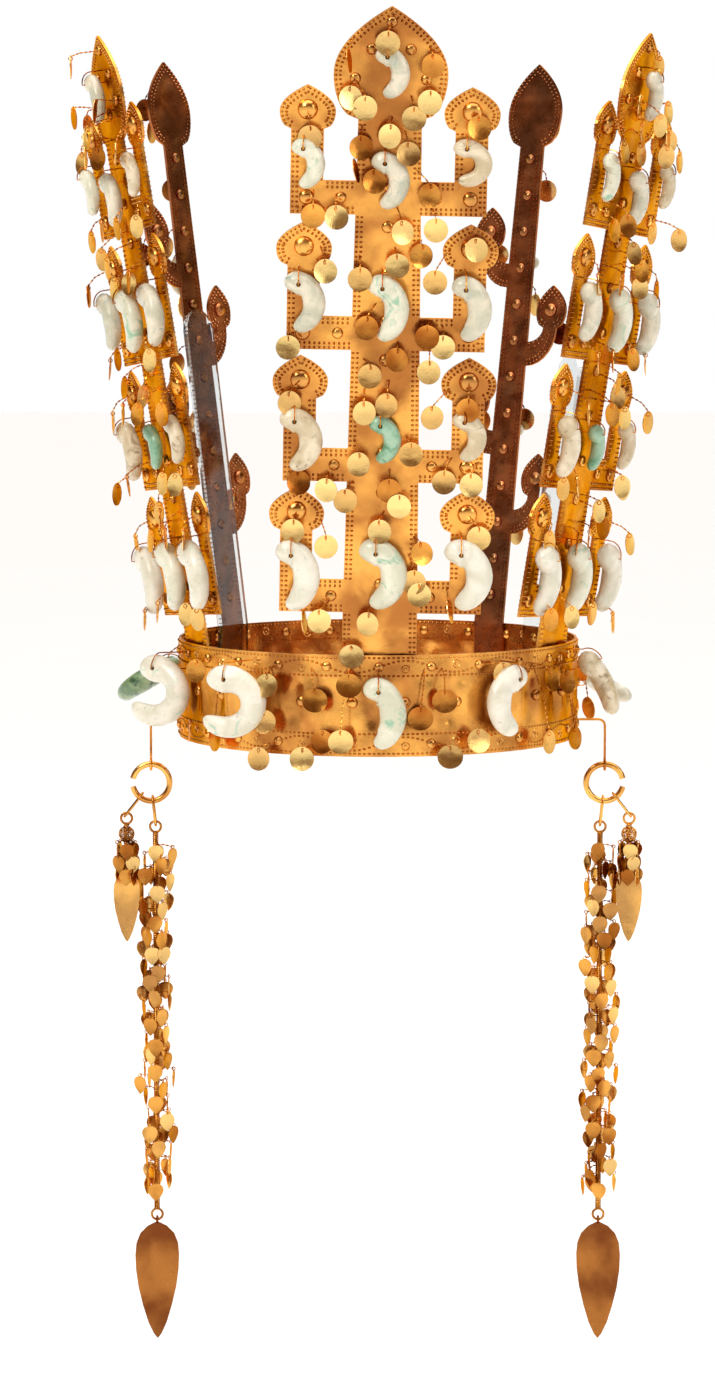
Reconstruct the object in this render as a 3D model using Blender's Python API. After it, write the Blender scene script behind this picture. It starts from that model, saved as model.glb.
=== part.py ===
"""Gold crown: an oval headband with three branched trees, two antlers, jade comma beads,
round spangles and two hanging pendants, with the two clear strips that prop it.

Units are metres and Z is up.  The origin is the centre of the band's lower edge, and the
front faces -Y.  A tree, an antler and whatever hangs on them are drawn flat: X across,
Y up the plate and Z away from its outer face.  They are then stood up on the band.
"""

import math

import bmesh
import bpy
from mathutils import Matrix, Vector

# Clearances
GAP = 0.0003
STONE_STANDOFF = 0.0016
WELD = 0.00001

# Headband, an oval measured outside
BAND_WIDTH = 0.180
BAND_DEPTH = 0.200
BAND_HEIGHT = 0.044
BAND_WALL = 0.0012
BAND_SIDES = 56
BAND_BOSSES = 9
BAND_BOSS_INSET = 0.0075

# Trees
SHEET = 0.0012
LEAN = math.radians(8.2)
BEND_ABOVE_RIM = 0.0006
FOOT_DEPTH = 0.030
TREE_HEIGHT = 0.2775
BAR_FOOTS = tuple(TREE_HEIGHT * share for share in (0.0670, 0.2728, 0.4775, 0.6850))
BAR_HEIGHT = TREE_HEIGHT * 0.0515
POST_HEIGHT = TREE_HEIGHT * 0.0771
BUD_HEIGHT = TREE_HEIGHT * 0.0670
TOP_BUD_HEIGHT = TREE_HEIGHT * 0.1705
STEM_FOOT_WIDTH = 0.0325
STEM_TOP_WIDTH = 0.0255
BAR_REACH_LOW = 0.0434
BAR_REACH_HIGH = 0.0414
POST_WIDTH = 0.0138
BUD_WIDTH = 0.0236
TOP_BUD_WIDTH = 0.0480
FRONT_TREE_AZIMUTH = 0.0
FRONT_TREE_ROLL = math.radians(1.1)
LEFT_TREE_AZIMUTH = math.radians(-71.0)
LEFT_TREE_ROLL = math.radians(-4.5)
RIGHT_TREE_AZIMUTH = math.radians(65.0)
RIGHT_TREE_ROLL = math.radians(3.8)
SIDE_TREE_DROP = 0.0060

# Antlers
ANTLER_HEIGHT = 0.2640
ANTLER_FOOT_WIDTH = 0.0170
ANTLER_TOP_WIDTH = 0.0130
ANTLER_BUD_WIDTH = 0.0170
ANTLER_BUD_HEIGHT = 0.0200
ANTLER_TOP_BUD_WIDTH = 0.0310
ANTLER_TOP_BUD_HEIGHT = 0.0390
ANTLER_REACH = 0.0240
ANTLER_ARM = 0.0075
LEFT_ANTLER_AZIMUTH = math.radians(-125.0)
RIGHT_ANTLER_AZIMUTH = math.radians(140.0)

# Domed bosses
BUD_BOSS_RADIUS = 0.0044
SMALL_BOSS_RADIUS = 0.0026
BOSS_HEIGHT = 0.0011

# Jade comma beads
BEAD_HEIGHT = 0.0305
BEAD_DRILL = 0.0020
BEAD_FLATTENING = 0.80
HOOK_WIRE = 0.0011

# Spangles
SPANGLE_DIAMETER = 0.0104
SPANGLE_SHEET = 0.0006
SPANGLE_STANDOFF = 0.0065
SPANGLE_WIRE = 0.0009
SPANGLE_SAG = 0.0015
SPANGLE_HOLE_SHARE = 0.36
SPANGLE_TILT = math.radians(7.0)

# Clear strips
STRIP_WIDTH = 0.0200
STRIP_THICKNESS = 0.0025
LEFT_STRIP_HEIGHT = 0.1480
RIGHT_STRIP_HEIGHT = 0.1280
RIGHT_STRIP_AZIMUTH = math.radians(119.0)

# Pendants
PENDANT_OFFSET = 0.1030
PENDANT_DROP = 0.0143
PENDANT_HOOK_RISE = 0.0062
PENDANT_HOOK_BEND = 0.0030
RING_RADIUS = 0.0084
RING_WIRE = 0.0027
RING_MOUTH = math.radians(26.0)
LINK_WIRE = 0.0011
LINK_LENGTH = 0.0135
LINK_WIDTH = 0.0056
EYE_RADIUS = 0.0025
MAIN_LINK_ANGLE = math.radians(-84.0)
SHORT_LINK_ANGLE = math.radians(-128.0)
STRAND_LENGTH = 0.1740
STRAND_CORE = 0.0030
STRAND_WAISTS = 5
STRAND_REACH = 0.0066
STRAND_TIERS = 5
HEART_WIDTH = 0.0072
HEART_HEIGHT = 0.0080
HEART_SHEET = 0.0006
SHORT_STRAND_LENGTH = 0.0230
LARGE_LEAF_LENGTH = 0.0320
LARGE_LEAF_WIDTH = 0.0120
END_LEAF_LENGTH = 0.0540
END_LEAF_WIDTH = 0.0200
LEAF_SHEET = 0.0010
LEAF_FOLD = math.radians(8.0)

# Half outline of an onion-shaped bud: share of its height, share of its half width
BUD_PROFILE = ((0.22, 0.90), (0.48, 1.00), (0.78, 0.46))

# Sections of a comma bead: degrees round its bow, radius as a share of its height
BEAD_SECTIONS = ((127, 0.100), (90, 0.205), (24, 0.190), (-38, 0.150), (-98, 0.060))
BEAD_BOW_ACROSS = 0.275
BEAD_BOW_CENTRE = 0.32
BEAD_BOW_UP = 0.345
BEAD_HEAD_DEGREES = 88
BEAD_HEAD_SHARE = 0.205

# Beads that are not of the usual shape: share of the usual bow, and how much further
# than usual the tail turns in
BEAD_BOWS = {
    "a_left": (0.85, 1.0),
    "c_centre": (0.85, 1.0),
    "c_right": (0.85, 1.0),
    "d_right": (1.40, 1.1),
    "centre": (0.80, 1.0),
    "left_front": (1.50, 1.4),
    "left_side": (1.50, 1.4),
}

# Beads of a tree: name, level from the lowest bar, side, height as a share of
# BEAD_HEIGHT, rise of the bead's top over the bar as a share of POST_HEIGHT, stone
TREE_BEADS = (
    ("a_left", 0, -1, 1.00, 0.87, "white_jade"),
    ("a_centre", 0, 0, 1.00, 0.93, "mottled_jade"),
    ("a_right", 0, 1, 1.00, 0.94, "white_jade"),
    ("b_left", 1, -1, 0.88, 0.86, "cream_jade"),
    ("b_centre", 1, 0, 0.66, 0.72, "green_jade"),
    ("b_right", 1, 1, 0.70, 0.84, "cream_jade"),
    ("c_left", 2, -1, 0.84, 0.93, "blue_jade"),
    ("c_centre", 2, 0, 0.92, 0.90, "mottled_jade"),
    ("c_right", 2, 1, 0.90, 0.90, "blue_jade"),
    ("d_left", 3, -1, 0.68, 0.85, "mottled_jade"),
    ("d_centre", 3, 0, 0.78, 0.62, "blue_jade"),
    ("d_right", 3, 1, 0.64, 0.89, "cream_jade"),
)
TOP_BEAD_SHARE = 0.70
TOP_BEAD_RISE = 0.66

# Beads of the band: name, azimuth in degrees, size as a share of BEAD_HEIGHT, height of
# the bead's top as a share of BAND_HEIGHT, side that the bow faces, stone
BAND_BEADS = (
    ("centre", 1.0, 1.00, 0.80, 1, "mottled_jade"),
    ("left_front", -41.0, 1.00, 0.88, 1, "white_jade"),
    ("right_front", 38.5, 1.00, 0.88, -1, "white_jade"),
    ("left_side", -71.5, 1.00, 0.88, 1, "white_jade"),
    ("right_side", 76.0, 1.00, 0.92, 1, "cream_jade"),
    ("left_back", -112.0, 1.10, 0.72, 1, "mottled_jade"),
    ("right_back", 112.0, 1.00, 0.66, 1, "blue_jade"),
    ("left_rear", -152.0, 0.90, 0.84, 1, "cream_jade"),
    ("right_rear", 152.0, 0.90, 0.84, 1, "white_jade"),
)
BAND_SPANGLE_DEGREES = (-56, -26, -14, 17, 28, 56, 176)

# Beads of the band that hang away from it: degrees swung round, degrees tilted out at the
# tail, and distance moved out
HANGING_BEADS = {
    "left_front": (22.0, 0.0, 0.0050),
    "left_side": (40.0, 8.0, 0.0065),
    "right_side": (0.0, 26.0, 0.0020),
    "left_back": (0.0, 60.0, 0.0100),
    "right_back": (0.0, 60.0, 0.0100),
}

# Branches of an antler: side and height of its root as a share of ANTLER_HEIGHT
ANTLER_BRANCHES = ((-1, 0.16), (1, 0.30), (-1, 0.46), (1, 0.60))

COLOURS = {
    "gold": ((0.72, 0.40, 0.10), 1.0, 0.32),
    "white_jade": ((0.80, 0.78, 0.70), 0.0, 0.30),
    "cream_jade": ((0.68, 0.60, 0.45), 0.0, 0.35),
    "blue_jade": ((0.55, 0.62, 0.62), 0.0, 0.30),
    "mottled_jade": ((0.60, 0.66, 0.48), 0.0, 0.30),
    "green_jade": ((0.10, 0.42, 0.12), 0.0, 0.25),
    "clear_plastic": ((0.90, 0.93, 0.93), 0.0, 0.08),
}


def clear_scene():
    """Remove every object of the file."""
    for item in list(bpy.data.objects):
        bpy.data.objects.remove(item, do_unlink=True)


def new_collection(name):
    collection = bpy.data.collections.new(name)
    bpy.context.scene.collection.children.link(collection)
    return collection


def principled(name):
    """A Principled material in one of the crown's colours."""
    colour, metallic, roughness = COLOURS[name]
    material = bpy.data.materials.new(name)
    material.use_nodes = True
    shader = material.node_tree.nodes["Principled BSDF"]
    shader.inputs["Base Color"].default_value = (*colour, 1.0)
    shader.inputs["Metallic"].default_value = metallic
    shader.inputs["Roughness"].default_value = roughness
    return material


# Mesh helpers


def curve_to_mesh(curve):
    """The welded mesh of a curve, whose object is removed."""
    holder = bpy.data.objects.new("guide_curve", curve)
    bpy.context.scene.collection.objects.link(holder)
    bpy.context.view_layer.update()
    evaluated = holder.evaluated_get(bpy.context.evaluated_depsgraph_get())
    mesh = bpy.data.meshes.new_from_object(evaluated)
    bpy.data.objects.remove(holder, do_unlink=True)
    shape = bmesh.new()
    shape.from_mesh(mesh)
    bmesh.ops.remove_doubles(shape, verts=shape.verts, dist=WELD)
    bmesh.ops.recalc_face_normals(shape, faces=shape.faces)
    shape.to_mesh(mesh)
    shape.free()
    return mesh


def tube(points, radius, closed=False, resolution=0, shares=None):
    """A wire through the points: 4 sides and 2 more for each step of resolution."""
    curve = bpy.data.curves.new("wire", "CURVE")
    curve.dimensions = "3D"
    curve.bevel_depth = radius
    curve.bevel_resolution = resolution
    curve.use_fill_caps = not closed
    spline = curve.splines.new("POLY")
    spline.points.add(len(points) - 1)
    spline.use_cyclic_u = closed
    for index, point in enumerate(points):
        spline.points[index].co = (*point, 1.0)
        spline.points[index].radius = shares[index] if shares else 1.0
    return curve_to_mesh(curve)


def flat_plate(outlines, thickness):
    """A plate in the XY plane, centred on it, from its outline and any holes."""
    curve = bpy.data.curves.new("outline", "CURVE")
    curve.dimensions = "2D"
    curve.fill_mode = "BOTH"
    curve.extrude = thickness / 2
    for outline in outlines:
        spline = curve.splines.new("POLY")
        spline.points.add(len(outline) - 1)
        spline.use_cyclic_u = True
        for index, (across, up) in enumerate(outline):
            spline.points[index].co = (across, up, 0.0, 1.0)
    return curve_to_mesh(curve)


def cone(low_radius, high_radius, low, high, sides, matrix=Matrix.Identity(4)):
    """A capped cone or disc along Z from low to high."""
    shape = bmesh.new()
    bmesh.ops.create_cone(
        shape,
        cap_ends=True,
        segments=sides,
        radius1=low_radius,
        radius2=high_radius,
        depth=high - low,
        matrix=matrix @ Matrix.Translation((0, 0, (low + high) / 2)),
    )
    mesh = bpy.data.meshes.new("cone")
    shape.to_mesh(mesh)
    shape.free()
    return mesh


def moved(mesh, matrix):
    """A copy of the mesh, moved by the matrix."""
    copy = mesh.copy()
    copy.transform(matrix)
    if matrix.determinant() < 0:
        copy.flip_normals()
    return copy


def gathered(meshes):
    """One mesh that holds all the given shells."""
    shape = bmesh.new()
    for mesh in meshes:
        shape.from_mesh(mesh)
    mesh = bpy.data.meshes.new("shells")
    shape.to_mesh(mesh)
    shape.free()
    return mesh


def folded(mesh, axis_point, axis, side, angle):
    """Fold the part of a mesh that lies on one side of a line in its plane."""
    shape = bmesh.new()
    shape.from_mesh(mesh)
    bmesh.ops.bisect_plane(
        shape,
        geom=shape.verts[:] + shape.edges[:] + shape.faces[:],
        dist=WELD,
        plane_co=axis_point,
        plane_no=side,
    )
    turn = Matrix.Translation(axis_point) @ Matrix.Rotation(angle, 4, axis)
    turn = turn @ Matrix.Translation(-Vector(axis_point))
    for vertex in shape.verts:
        if (vertex.co - Vector(axis_point)).dot(Vector(side)) > WELD:
            vertex.co = turn @ vertex.co
    shape.to_mesh(mesh)
    shape.free()
    return mesh


def piece(name, mesh, material, matrix=Matrix.Identity(4)):
    """A named piece of the crown."""
    node = bpy.data.objects.new(name, mesh)
    node.matrix_world = matrix
    mesh.materials.clear()
    mesh.materials.append(materials[material])
    crown.objects.link(node)
    return node


def join_by_boolean(node, shells, operation, matrix):
    """Join shells to a piece, or cut them from it, with a Boolean."""
    helper = bpy.data.objects.new(node.name + "_" + operation.lower(), gathered(shells))
    helper.matrix_world = matrix
    helper.hide_render = True
    helper.display_type = "WIRE"
    helpers.objects.link(helper)
    modifier = node.modifiers.new(operation.lower(), "BOOLEAN")
    modifier.operation = operation
    modifier.solver = "EXACT"
    modifier.use_self = operation == "UNION"
    modifier.object = helper


# Places on the oval band


def oval_point(azimuth, inset):
    """Point of the band's oval whose outward normal has this azimuth."""
    across = BAND_WIDTH / 2 - inset
    along = BAND_DEPTH / 2 - inset
    reach = math.hypot(across * math.sin(azimuth), along * math.cos(azimuth))
    x = across ** 2 * math.sin(azimuth) / reach
    y = -(along ** 2) * math.cos(azimuth) / reach
    return Vector((x, y, 0.0))


def chord_inset(azimuth, half_width):
    """How far inside the oval a flat foot of this half width has to stand."""
    outward = Vector((math.sin(azimuth), -math.cos(azimuth), 0.0))
    along_wall = Vector((math.cos(azimuth), math.sin(azimuth), 0.0))
    across = BAND_WIDTH / 2 - BAND_WALL - GAP
    along = BAND_DEPTH / 2 - BAND_WALL - GAP
    inset = 0.0
    step = GAP / 6
    while True:
        middle = oval_point(azimuth, BAND_WALL + GAP) - outward * inset
        corners = [middle + along_wall * half_width, middle - along_wall * half_width]
        if all((p.x / across) ** 2 + (p.y / along) ** 2 <= 1.0 for p in corners):
            return inset + BAND_WALL + GAP
        inset += step


STAND_UP = Matrix.Rotation(math.radians(90), 4, "X")


def upright_place(azimuth, half_width, thickness, roll=0.0, behind=0.0, drop=0.0):
    """Matrix that stands a drawn plate inside the band, leaning outward above the rim."""
    outward = Vector((math.sin(azimuth), -math.cos(azimuth), 0.0))
    inset = chord_inset(azimuth, half_width)
    foot = oval_point(azimuth, 0.0) - outward * (inset + thickness / 2 + behind)
    foot.z = BAND_HEIGHT - drop
    bend = Matrix.Translation((0, 0, BEND_ABOVE_RIM + drop))
    turn = Matrix.Rotation(azimuth, 4, "Z") @ bend @ Matrix.Rotation(LEAN, 4, "X")
    turn = turn @ Matrix.Rotation(roll, 4, "Y") @ bend.inverted()
    return Matrix.Translation(foot) @ turn @ STAND_UP


def wall_place(azimuth, height):
    """Matrix of a spot on the band's outer face."""
    spot = oval_point(azimuth, 0.0)
    spot.z = height
    return Matrix.Translation(spot) @ Matrix.Rotation(azimuth, 4, "Z") @ STAND_UP


def straight_foot(plate, drop=0.0):
    """Bend a plate's foot back so that it stands upright inside the band."""
    return folded(plate, (0, BEND_ABOVE_RIM + drop, 0), "X", (0, -1, 0), -LEAN)


# Small fittings, drawn on a plate


def boss(across, up, radius, sides, matrix=Matrix.Identity(4), surface=SHEET / 2):
    """A low domed boss."""
    spot = matrix @ Matrix.Translation((across, up, 0))
    return cone(radius, radius * 0.5, surface - SHEET / 2, surface + BOSS_HEIGHT, sides, spot)


def spangle(across, up, turn, matrix=Matrix.Identity(4), surface=SHEET / 2):
    """A round spangle on a wire that stands off the plate."""
    sink = SPANGLE_DIAMETER * SPANGLE_HOLE_SHARE
    end = Vector((across, up - SPANGLE_SAG, surface + SPANGLE_STANDOFF))
    wire = tube([(across, up, surface - SHEET / 2), end], SPANGLE_WIRE / 2, resolution=0)
    spot = Matrix.Translation(end) @ Matrix.Rotation(turn, 4, "Y")
    spot = spot @ Matrix.Rotation(SPANGLE_TILT, 4, "X") @ Matrix.Translation((0, -sink, 0))
    half = SPANGLE_SHEET / 2
    disc = cone(SPANGLE_DIAMETER / 2, SPANGLE_DIAMETER / 2, -half, half, 8, spot)
    return [moved(wire, matrix), moved(disc, matrix)]


def bead_point(degrees, height, spread, curl):
    """Point of a bead's centre line at this angle of its bow."""
    angle = math.radians(degrees * curl if degrees < 0 else degrees)
    across = BEAD_BOW_ACROSS * spread * (math.cos(angle) - BEAD_BOW_CENTRE)
    return Vector((across * height, BEAD_BOW_UP * math.sin(angle) * height, 0.0))


def bead_mesh(height, bow_side, surface, spread=1.0, curl=1.0):
    """A comma bead, its drawn box centred across and its top at zero."""
    points = [bead_point(degrees, height, spread, curl) for degrees, radius in BEAD_SECTIONS]
    shares = [radius / BEAD_HEAD_SHARE for degrees, radius in BEAD_SECTIONS]
    mesh = tube(points, BEAD_HEAD_SHARE * height, resolution=3, shares=shares)
    depth = BEAD_HEAD_SHARE * height * BEAD_FLATTENING
    lift = surface + STONE_STANDOFF + depth
    place = Matrix.Translation((0, -height * (BEAD_BOW_UP + BEAD_HEAD_SHARE), lift))
    place = place @ Matrix.Diagonal((bow_side, 1.0, BEAD_FLATTENING, 1.0))
    return moved(mesh, place)


def bead_head(height, bow_side, surface, spread=1.0):
    """Centre of the bead's head, where it is drilled."""
    head = bead_point(BEAD_HEAD_DEGREES, height, spread, 1.0)
    up = head.y - (BEAD_BOW_UP + BEAD_HEAD_SHARE) * height
    depth = BEAD_HEAD_SHARE * height * BEAD_FLATTENING
    return Vector((head.x * bow_side, up, surface + STONE_STANDOFF + depth))


def hang_turn(head, swing, tilt, away):
    """Matrix that swings and tilts a bead about its head and moves it off the wall."""
    turn = Matrix.Rotation(math.radians(-tilt), 4, "X")
    turn = turn @ Matrix.Rotation(math.radians(swing), 4, "Y")
    out = Matrix.Translation(head + Vector((0, 0, away)))
    return out @ turn @ Matrix.Translation(-head)


def bead_hook(head, height, surface, hang=Matrix.Identity(4)):
    """Gold wire through the bead's drilled head, over its top and back into the plate."""
    root = surface - SHEET / 2
    reach_out = BEAD_HEAD_SHARE * height * BEAD_FLATTENING + HOOK_WIRE
    reach_up = BEAD_HEAD_SHARE * height + HOOK_WIRE
    bend = 0.74
    route = (
        (0.0, -reach_out),
        (0.0, reach_out),
        (reach_up * bend, reach_out * bend),
        (reach_up, 0.0),
    )
    points = [hang @ (head + Vector((0, up, out))) for up, out in route]
    first = Vector((points[0].x, points[0].y, root))
    last = Vector((points[-1].x, points[-1].y, root))
    return tube([first] + points + [last], HOOK_WIRE / 2, resolution=0)


def bead_stub(height, bow_side, surface):
    """Short wire that carries a bead from behind its head."""
    head = bead_head(height, bow_side, surface)
    points = [(head.x, head.y, surface - SHEET / 2), (head.x, head.y, head.z)]
    return tube(points, HOOK_WIRE / 2, resolution=0)


def drilled_bead(name, mesh, head, height, matrix, stone):
    """A bead that is a piece of its own, bored front to back through its head."""
    node = piece(name, mesh, stone, matrix)
    spot = Matrix.Translation(head)
    drill = cone(BEAD_DRILL / 2, BEAD_DRILL / 2, -height, height, 8, spot)
    join_by_boolean(node, [drill], "DIFFERENCE", matrix)
    return node


# Trees


def bud_side(width, height, neck_up):
    """Points of a bud's right side from above its neck to below its tip."""
    return [(width / 2 * wide, neck_up + height * up) for up, wide in BUD_PROFILE]


def bud_points(centre, width, height, neck_up):
    """Points of a whole bud, from its outer side over the tip to its inner side."""
    side = bud_side(width, height, neck_up)
    outer = [(centre + across, up) for across, up in side]
    inner = [(centre - across, up) for across, up in reversed(side)]
    return outer + [(centre, neck_up + height)] + inner


def bar_reach(level):
    """Half length of a crossbar."""
    share = level / (len(BAR_FOOTS) - 1)
    return BAR_REACH_LOW + (BAR_REACH_HIGH - BAR_REACH_LOW) * share


def stem_half(up):
    """Half width of a tree's stem."""
    share = up / TREE_HEIGHT
    return (STEM_FOOT_WIDTH + (STEM_TOP_WIDTH - STEM_FOOT_WIDTH) * share) / 2


def tree_outline():
    """Outline of a tree: the right side is drawn upward and the left mirrors it."""
    side = [(STEM_FOOT_WIDTH / 2, -FOOT_DEPTH)]
    for level, foot in enumerate(BAR_FOOTS):
        top = foot + BAR_HEIGHT
        reach = bar_reach(level)
        neck = top + POST_HEIGHT
        centre = reach - POST_WIDTH / 2
        side.append((stem_half(foot), foot))
        side.append((reach - POST_WIDTH * 0.25, foot))
        side.append((reach, foot + BAR_HEIGHT * 0.25))
        side.append((reach, neck))
        side.extend(bud_points(centre, BUD_WIDTH, BUD_HEIGHT, neck))
        side.append((reach - POST_WIDTH, neck))
        side.append((reach - POST_WIDTH, top))
        side.append((stem_half(top), top))
    neck = TREE_HEIGHT - TOP_BUD_HEIGHT
    side.append((stem_half(neck), neck))
    side.extend(bud_side(TOP_BUD_WIDTH, TOP_BUD_HEIGHT, neck))
    mirrored = [(-across, up) for across, up in reversed(side)]
    return side + [(0.0, TREE_HEIGHT)] + mirrored


def tree_bosses(bars_too):
    """Bosses in the small buds, and on the bars and stem where they are wanted."""
    bosses = []
    for level, foot in enumerate(BAR_FOOTS):
        centre = bar_reach(level) - POST_WIDTH / 2
        bud_up = foot + BAR_HEIGHT + POST_HEIGHT + BUD_HEIGHT * 0.44
        bar_up = foot + BAR_HEIGHT / 2
        bosses.append(boss(centre, bud_up, BUD_BOSS_RADIUS, 7))
        bosses.append(boss(-centre, bud_up, BUD_BOSS_RADIUS, 7))
        if bars_too:
            stem_up = foot + BAR_HEIGHT + POST_HEIGHT * 1.45
            bosses.append(boss(centre, bar_up, SMALL_BOSS_RADIUS, 6))
            bosses.append(boss(-centre, bar_up, SMALL_BOSS_RADIUS, 6))
            bosses.append(boss(0.0, stem_up, SMALL_BOSS_RADIUS, 6))
    return bosses


def tree_spangles():
    """A spangle on each bar, on alternate sides, and two on the top bud."""
    shells = []
    for level, foot in enumerate(BAR_FOOTS):
        side = (-1) ** level
        up = foot + BAR_HEIGHT * 0.45
        shells += spangle(side * bar_reach(level) * 0.49, up, 0.3 * side)
    bud_up = TREE_HEIGHT - TOP_BUD_HEIGHT * 0.42
    for side in (-1, 1):
        shells += spangle(side * TOP_BUD_WIDTH * 0.36, bud_up, 0.2 * side)
    return shells


def tree_bead_spots():
    """Each bead of a tree: name, place across, top, height and stone."""
    spots = []
    for name, level, side, size, rise, stone in TREE_BEADS:
        centre = (bar_reach(level) - POST_WIDTH / 2) * side
        top = BAR_FOOTS[level] + BAR_HEIGHT + POST_HEIGHT * rise
        spots.append((name, centre, top, BEAD_HEIGHT * size, stone))
    bud_foot = TREE_HEIGHT - TOP_BUD_HEIGHT
    top = bud_foot + TOP_BUD_HEIGHT * TOP_BEAD_RISE
    spots.append(("top", 0.0, top, BEAD_HEIGHT * TOP_BEAD_SHARE, "blue_jade"))
    return spots


def build_tree(name, azimuth, roll, drop, loose_beads):
    """One tree; its beads are pieces of their own or are fused to it."""
    half_foot = STEM_FOOT_WIDTH / 2 + FOOT_DEPTH * abs(roll)
    matrix = upright_place(azimuth, half_foot, SHEET, roll, drop=drop)
    plate = straight_foot(flat_plate([tree_outline()], SHEET), drop)
    node = piece(name, plate, "gold", matrix)
    shells = tree_bosses(bars_too=loose_beads) + tree_spangles()
    for bead_name, across, top, height, stone in tree_bead_spots():
        spot = Matrix.Translation((across, top, 0))
        if loose_beads:
            spread, curl = BEAD_BOWS.get(bead_name, (1.0, 1.0))
            head = bead_head(height, 1, SHEET / 2, spread)
            mesh = bead_mesh(height, 1, SHEET / 2, spread, curl)
            shells.append(moved(bead_hook(head, height, SHEET / 2), spot))
            drilled_bead("bead_" + bead_name, mesh, head, height, matrix @ spot, stone)
        else:
            shells.append(moved(bead_stub(height, 1, SHEET / 2), spot))
            shells.append(moved(bead_mesh(height, 1, SHEET / 2), spot))
    join_by_boolean(node, shells, "UNION", matrix)


# Antlers


def antler_half(up):
    """Half width of an antler's stem."""
    share = up / ANTLER_HEIGHT
    return (ANTLER_FOOT_WIDTH + (ANTLER_TOP_WIDTH - ANTLER_FOOT_WIDTH) * share) / 2


def antler_side(side):
    """One side of an antler, drawn upward, with its branches and their buds."""
    points = [(ANTLER_FOOT_WIDTH / 2, -FOOT_DEPTH)]
    for branch_side, share in ANTLER_BRANCHES:
        if branch_side != side:
            continue
        root = share * ANTLER_HEIGHT
        centre = ANTLER_REACH - ANTLER_ARM / 2
        neck = root + ANTLER_ARM * 2.4
        points.append((antler_half(root), root))
        points.append((ANTLER_REACH - ANTLER_ARM * 0.4, root + ANTLER_ARM * 0.9))
        points.append((ANTLER_REACH, neck))
        points.extend(bud_points(centre, ANTLER_BUD_WIDTH, ANTLER_BUD_HEIGHT, neck))
        points.append((ANTLER_REACH - ANTLER_ARM, neck))
        points.append((antler_half(root) + ANTLER_ARM * 0.6, root + ANTLER_ARM * 1.7))
        points.append((antler_half(root), root + ANTLER_ARM * 1.5))
    neck = ANTLER_HEIGHT - ANTLER_TOP_BUD_HEIGHT
    points.append((antler_half(neck), neck))
    points.extend(bud_side(ANTLER_TOP_BUD_WIDTH, ANTLER_TOP_BUD_HEIGHT, neck))
    return [(across * side, up) for across, up in points]


def build_antler(name, azimuth):
    """One antler with bosses, two small beads and a few spangles."""
    matrix = upright_place(azimuth, ANTLER_FOOT_WIDTH / 2, SHEET)
    outline = antler_side(1) + [(0.0, ANTLER_HEIGHT)] + list(reversed(antler_side(-1)))
    node = piece(name, straight_foot(flat_plate([outline], SHEET)), "gold", matrix)
    shells = []
    for side, share in ANTLER_BRANCHES:
        root = share * ANTLER_HEIGHT
        centre = (ANTLER_REACH - ANTLER_ARM / 2) * side
        bud_up = root + ANTLER_ARM * 2.4 + ANTLER_BUD_HEIGHT * 0.44
        shells.append(boss(centre, bud_up, SMALL_BOSS_RADIUS * 1.3, 6))
        if side > 0:
            shells += spangle(0.0, root - ANTLER_ARM, 0.3)
    for share in (0.36, 0.66):
        spot = Matrix.Translation((0, share * ANTLER_HEIGHT, 0))
        height = BEAD_HEIGHT * 0.6
        shells.append(moved(bead_stub(height, 1, SHEET / 2), spot))
        shells.append(moved(bead_mesh(height, 1, SHEET / 2), spot))
    join_by_boolean(node, shells, "UNION", matrix)


# Band


def oval_outline(inset):
    """Outline of the band seen from above."""
    outline = []
    for index in range(BAND_SIDES):
        angle = 2 * math.pi * index / BAND_SIDES
        across = (BAND_WIDTH / 2 - inset) * math.sin(angle)
        along = (BAND_DEPTH / 2 - inset) * math.cos(angle)
        outline.append((across, -along))
    return outline


def eye_loop(centre, radius, wire, axis, sides=10):
    """A closed round loop of wire; the axis is that of its hole."""
    turn = {"X": Matrix.Rotation(math.radians(90), 4, "Y"), "Y": STAND_UP}[axis]
    points = []
    for index in range(sides):
        angle = 2 * math.pi * index / sides
        spot = turn @ Vector((radius * math.cos(angle), radius * math.sin(angle), 0.0))
        points.append(Vector(centre) + spot)
    return tube(points, wire / 2, closed=True, resolution=0)


def pendant_hook(side):
    """Wire from the band's side to the eye that a pendant's ring hangs in."""
    eye = Vector((PENDANT_OFFSET * side, 0.0, -PENDANT_DROP))
    wall = (BAND_WIDTH / 2 - BAND_WALL / 2) * side
    shoulder = PENDANT_OFFSET * side
    route = (
        (wall, 0.0, PENDANT_HOOK_RISE),
        (shoulder - PENDANT_HOOK_BEND * side, 0.0, PENDANT_HOOK_RISE),
        (shoulder, 0.0, PENDANT_HOOK_RISE - PENDANT_HOOK_BEND),
        (shoulder, 0.0, eye.z + EYE_RADIUS),
    )
    return [tube(route, HOOK_WIRE / 2, resolution=0), eye_loop(eye, EYE_RADIUS, HOOK_WIRE, "X")]


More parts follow.
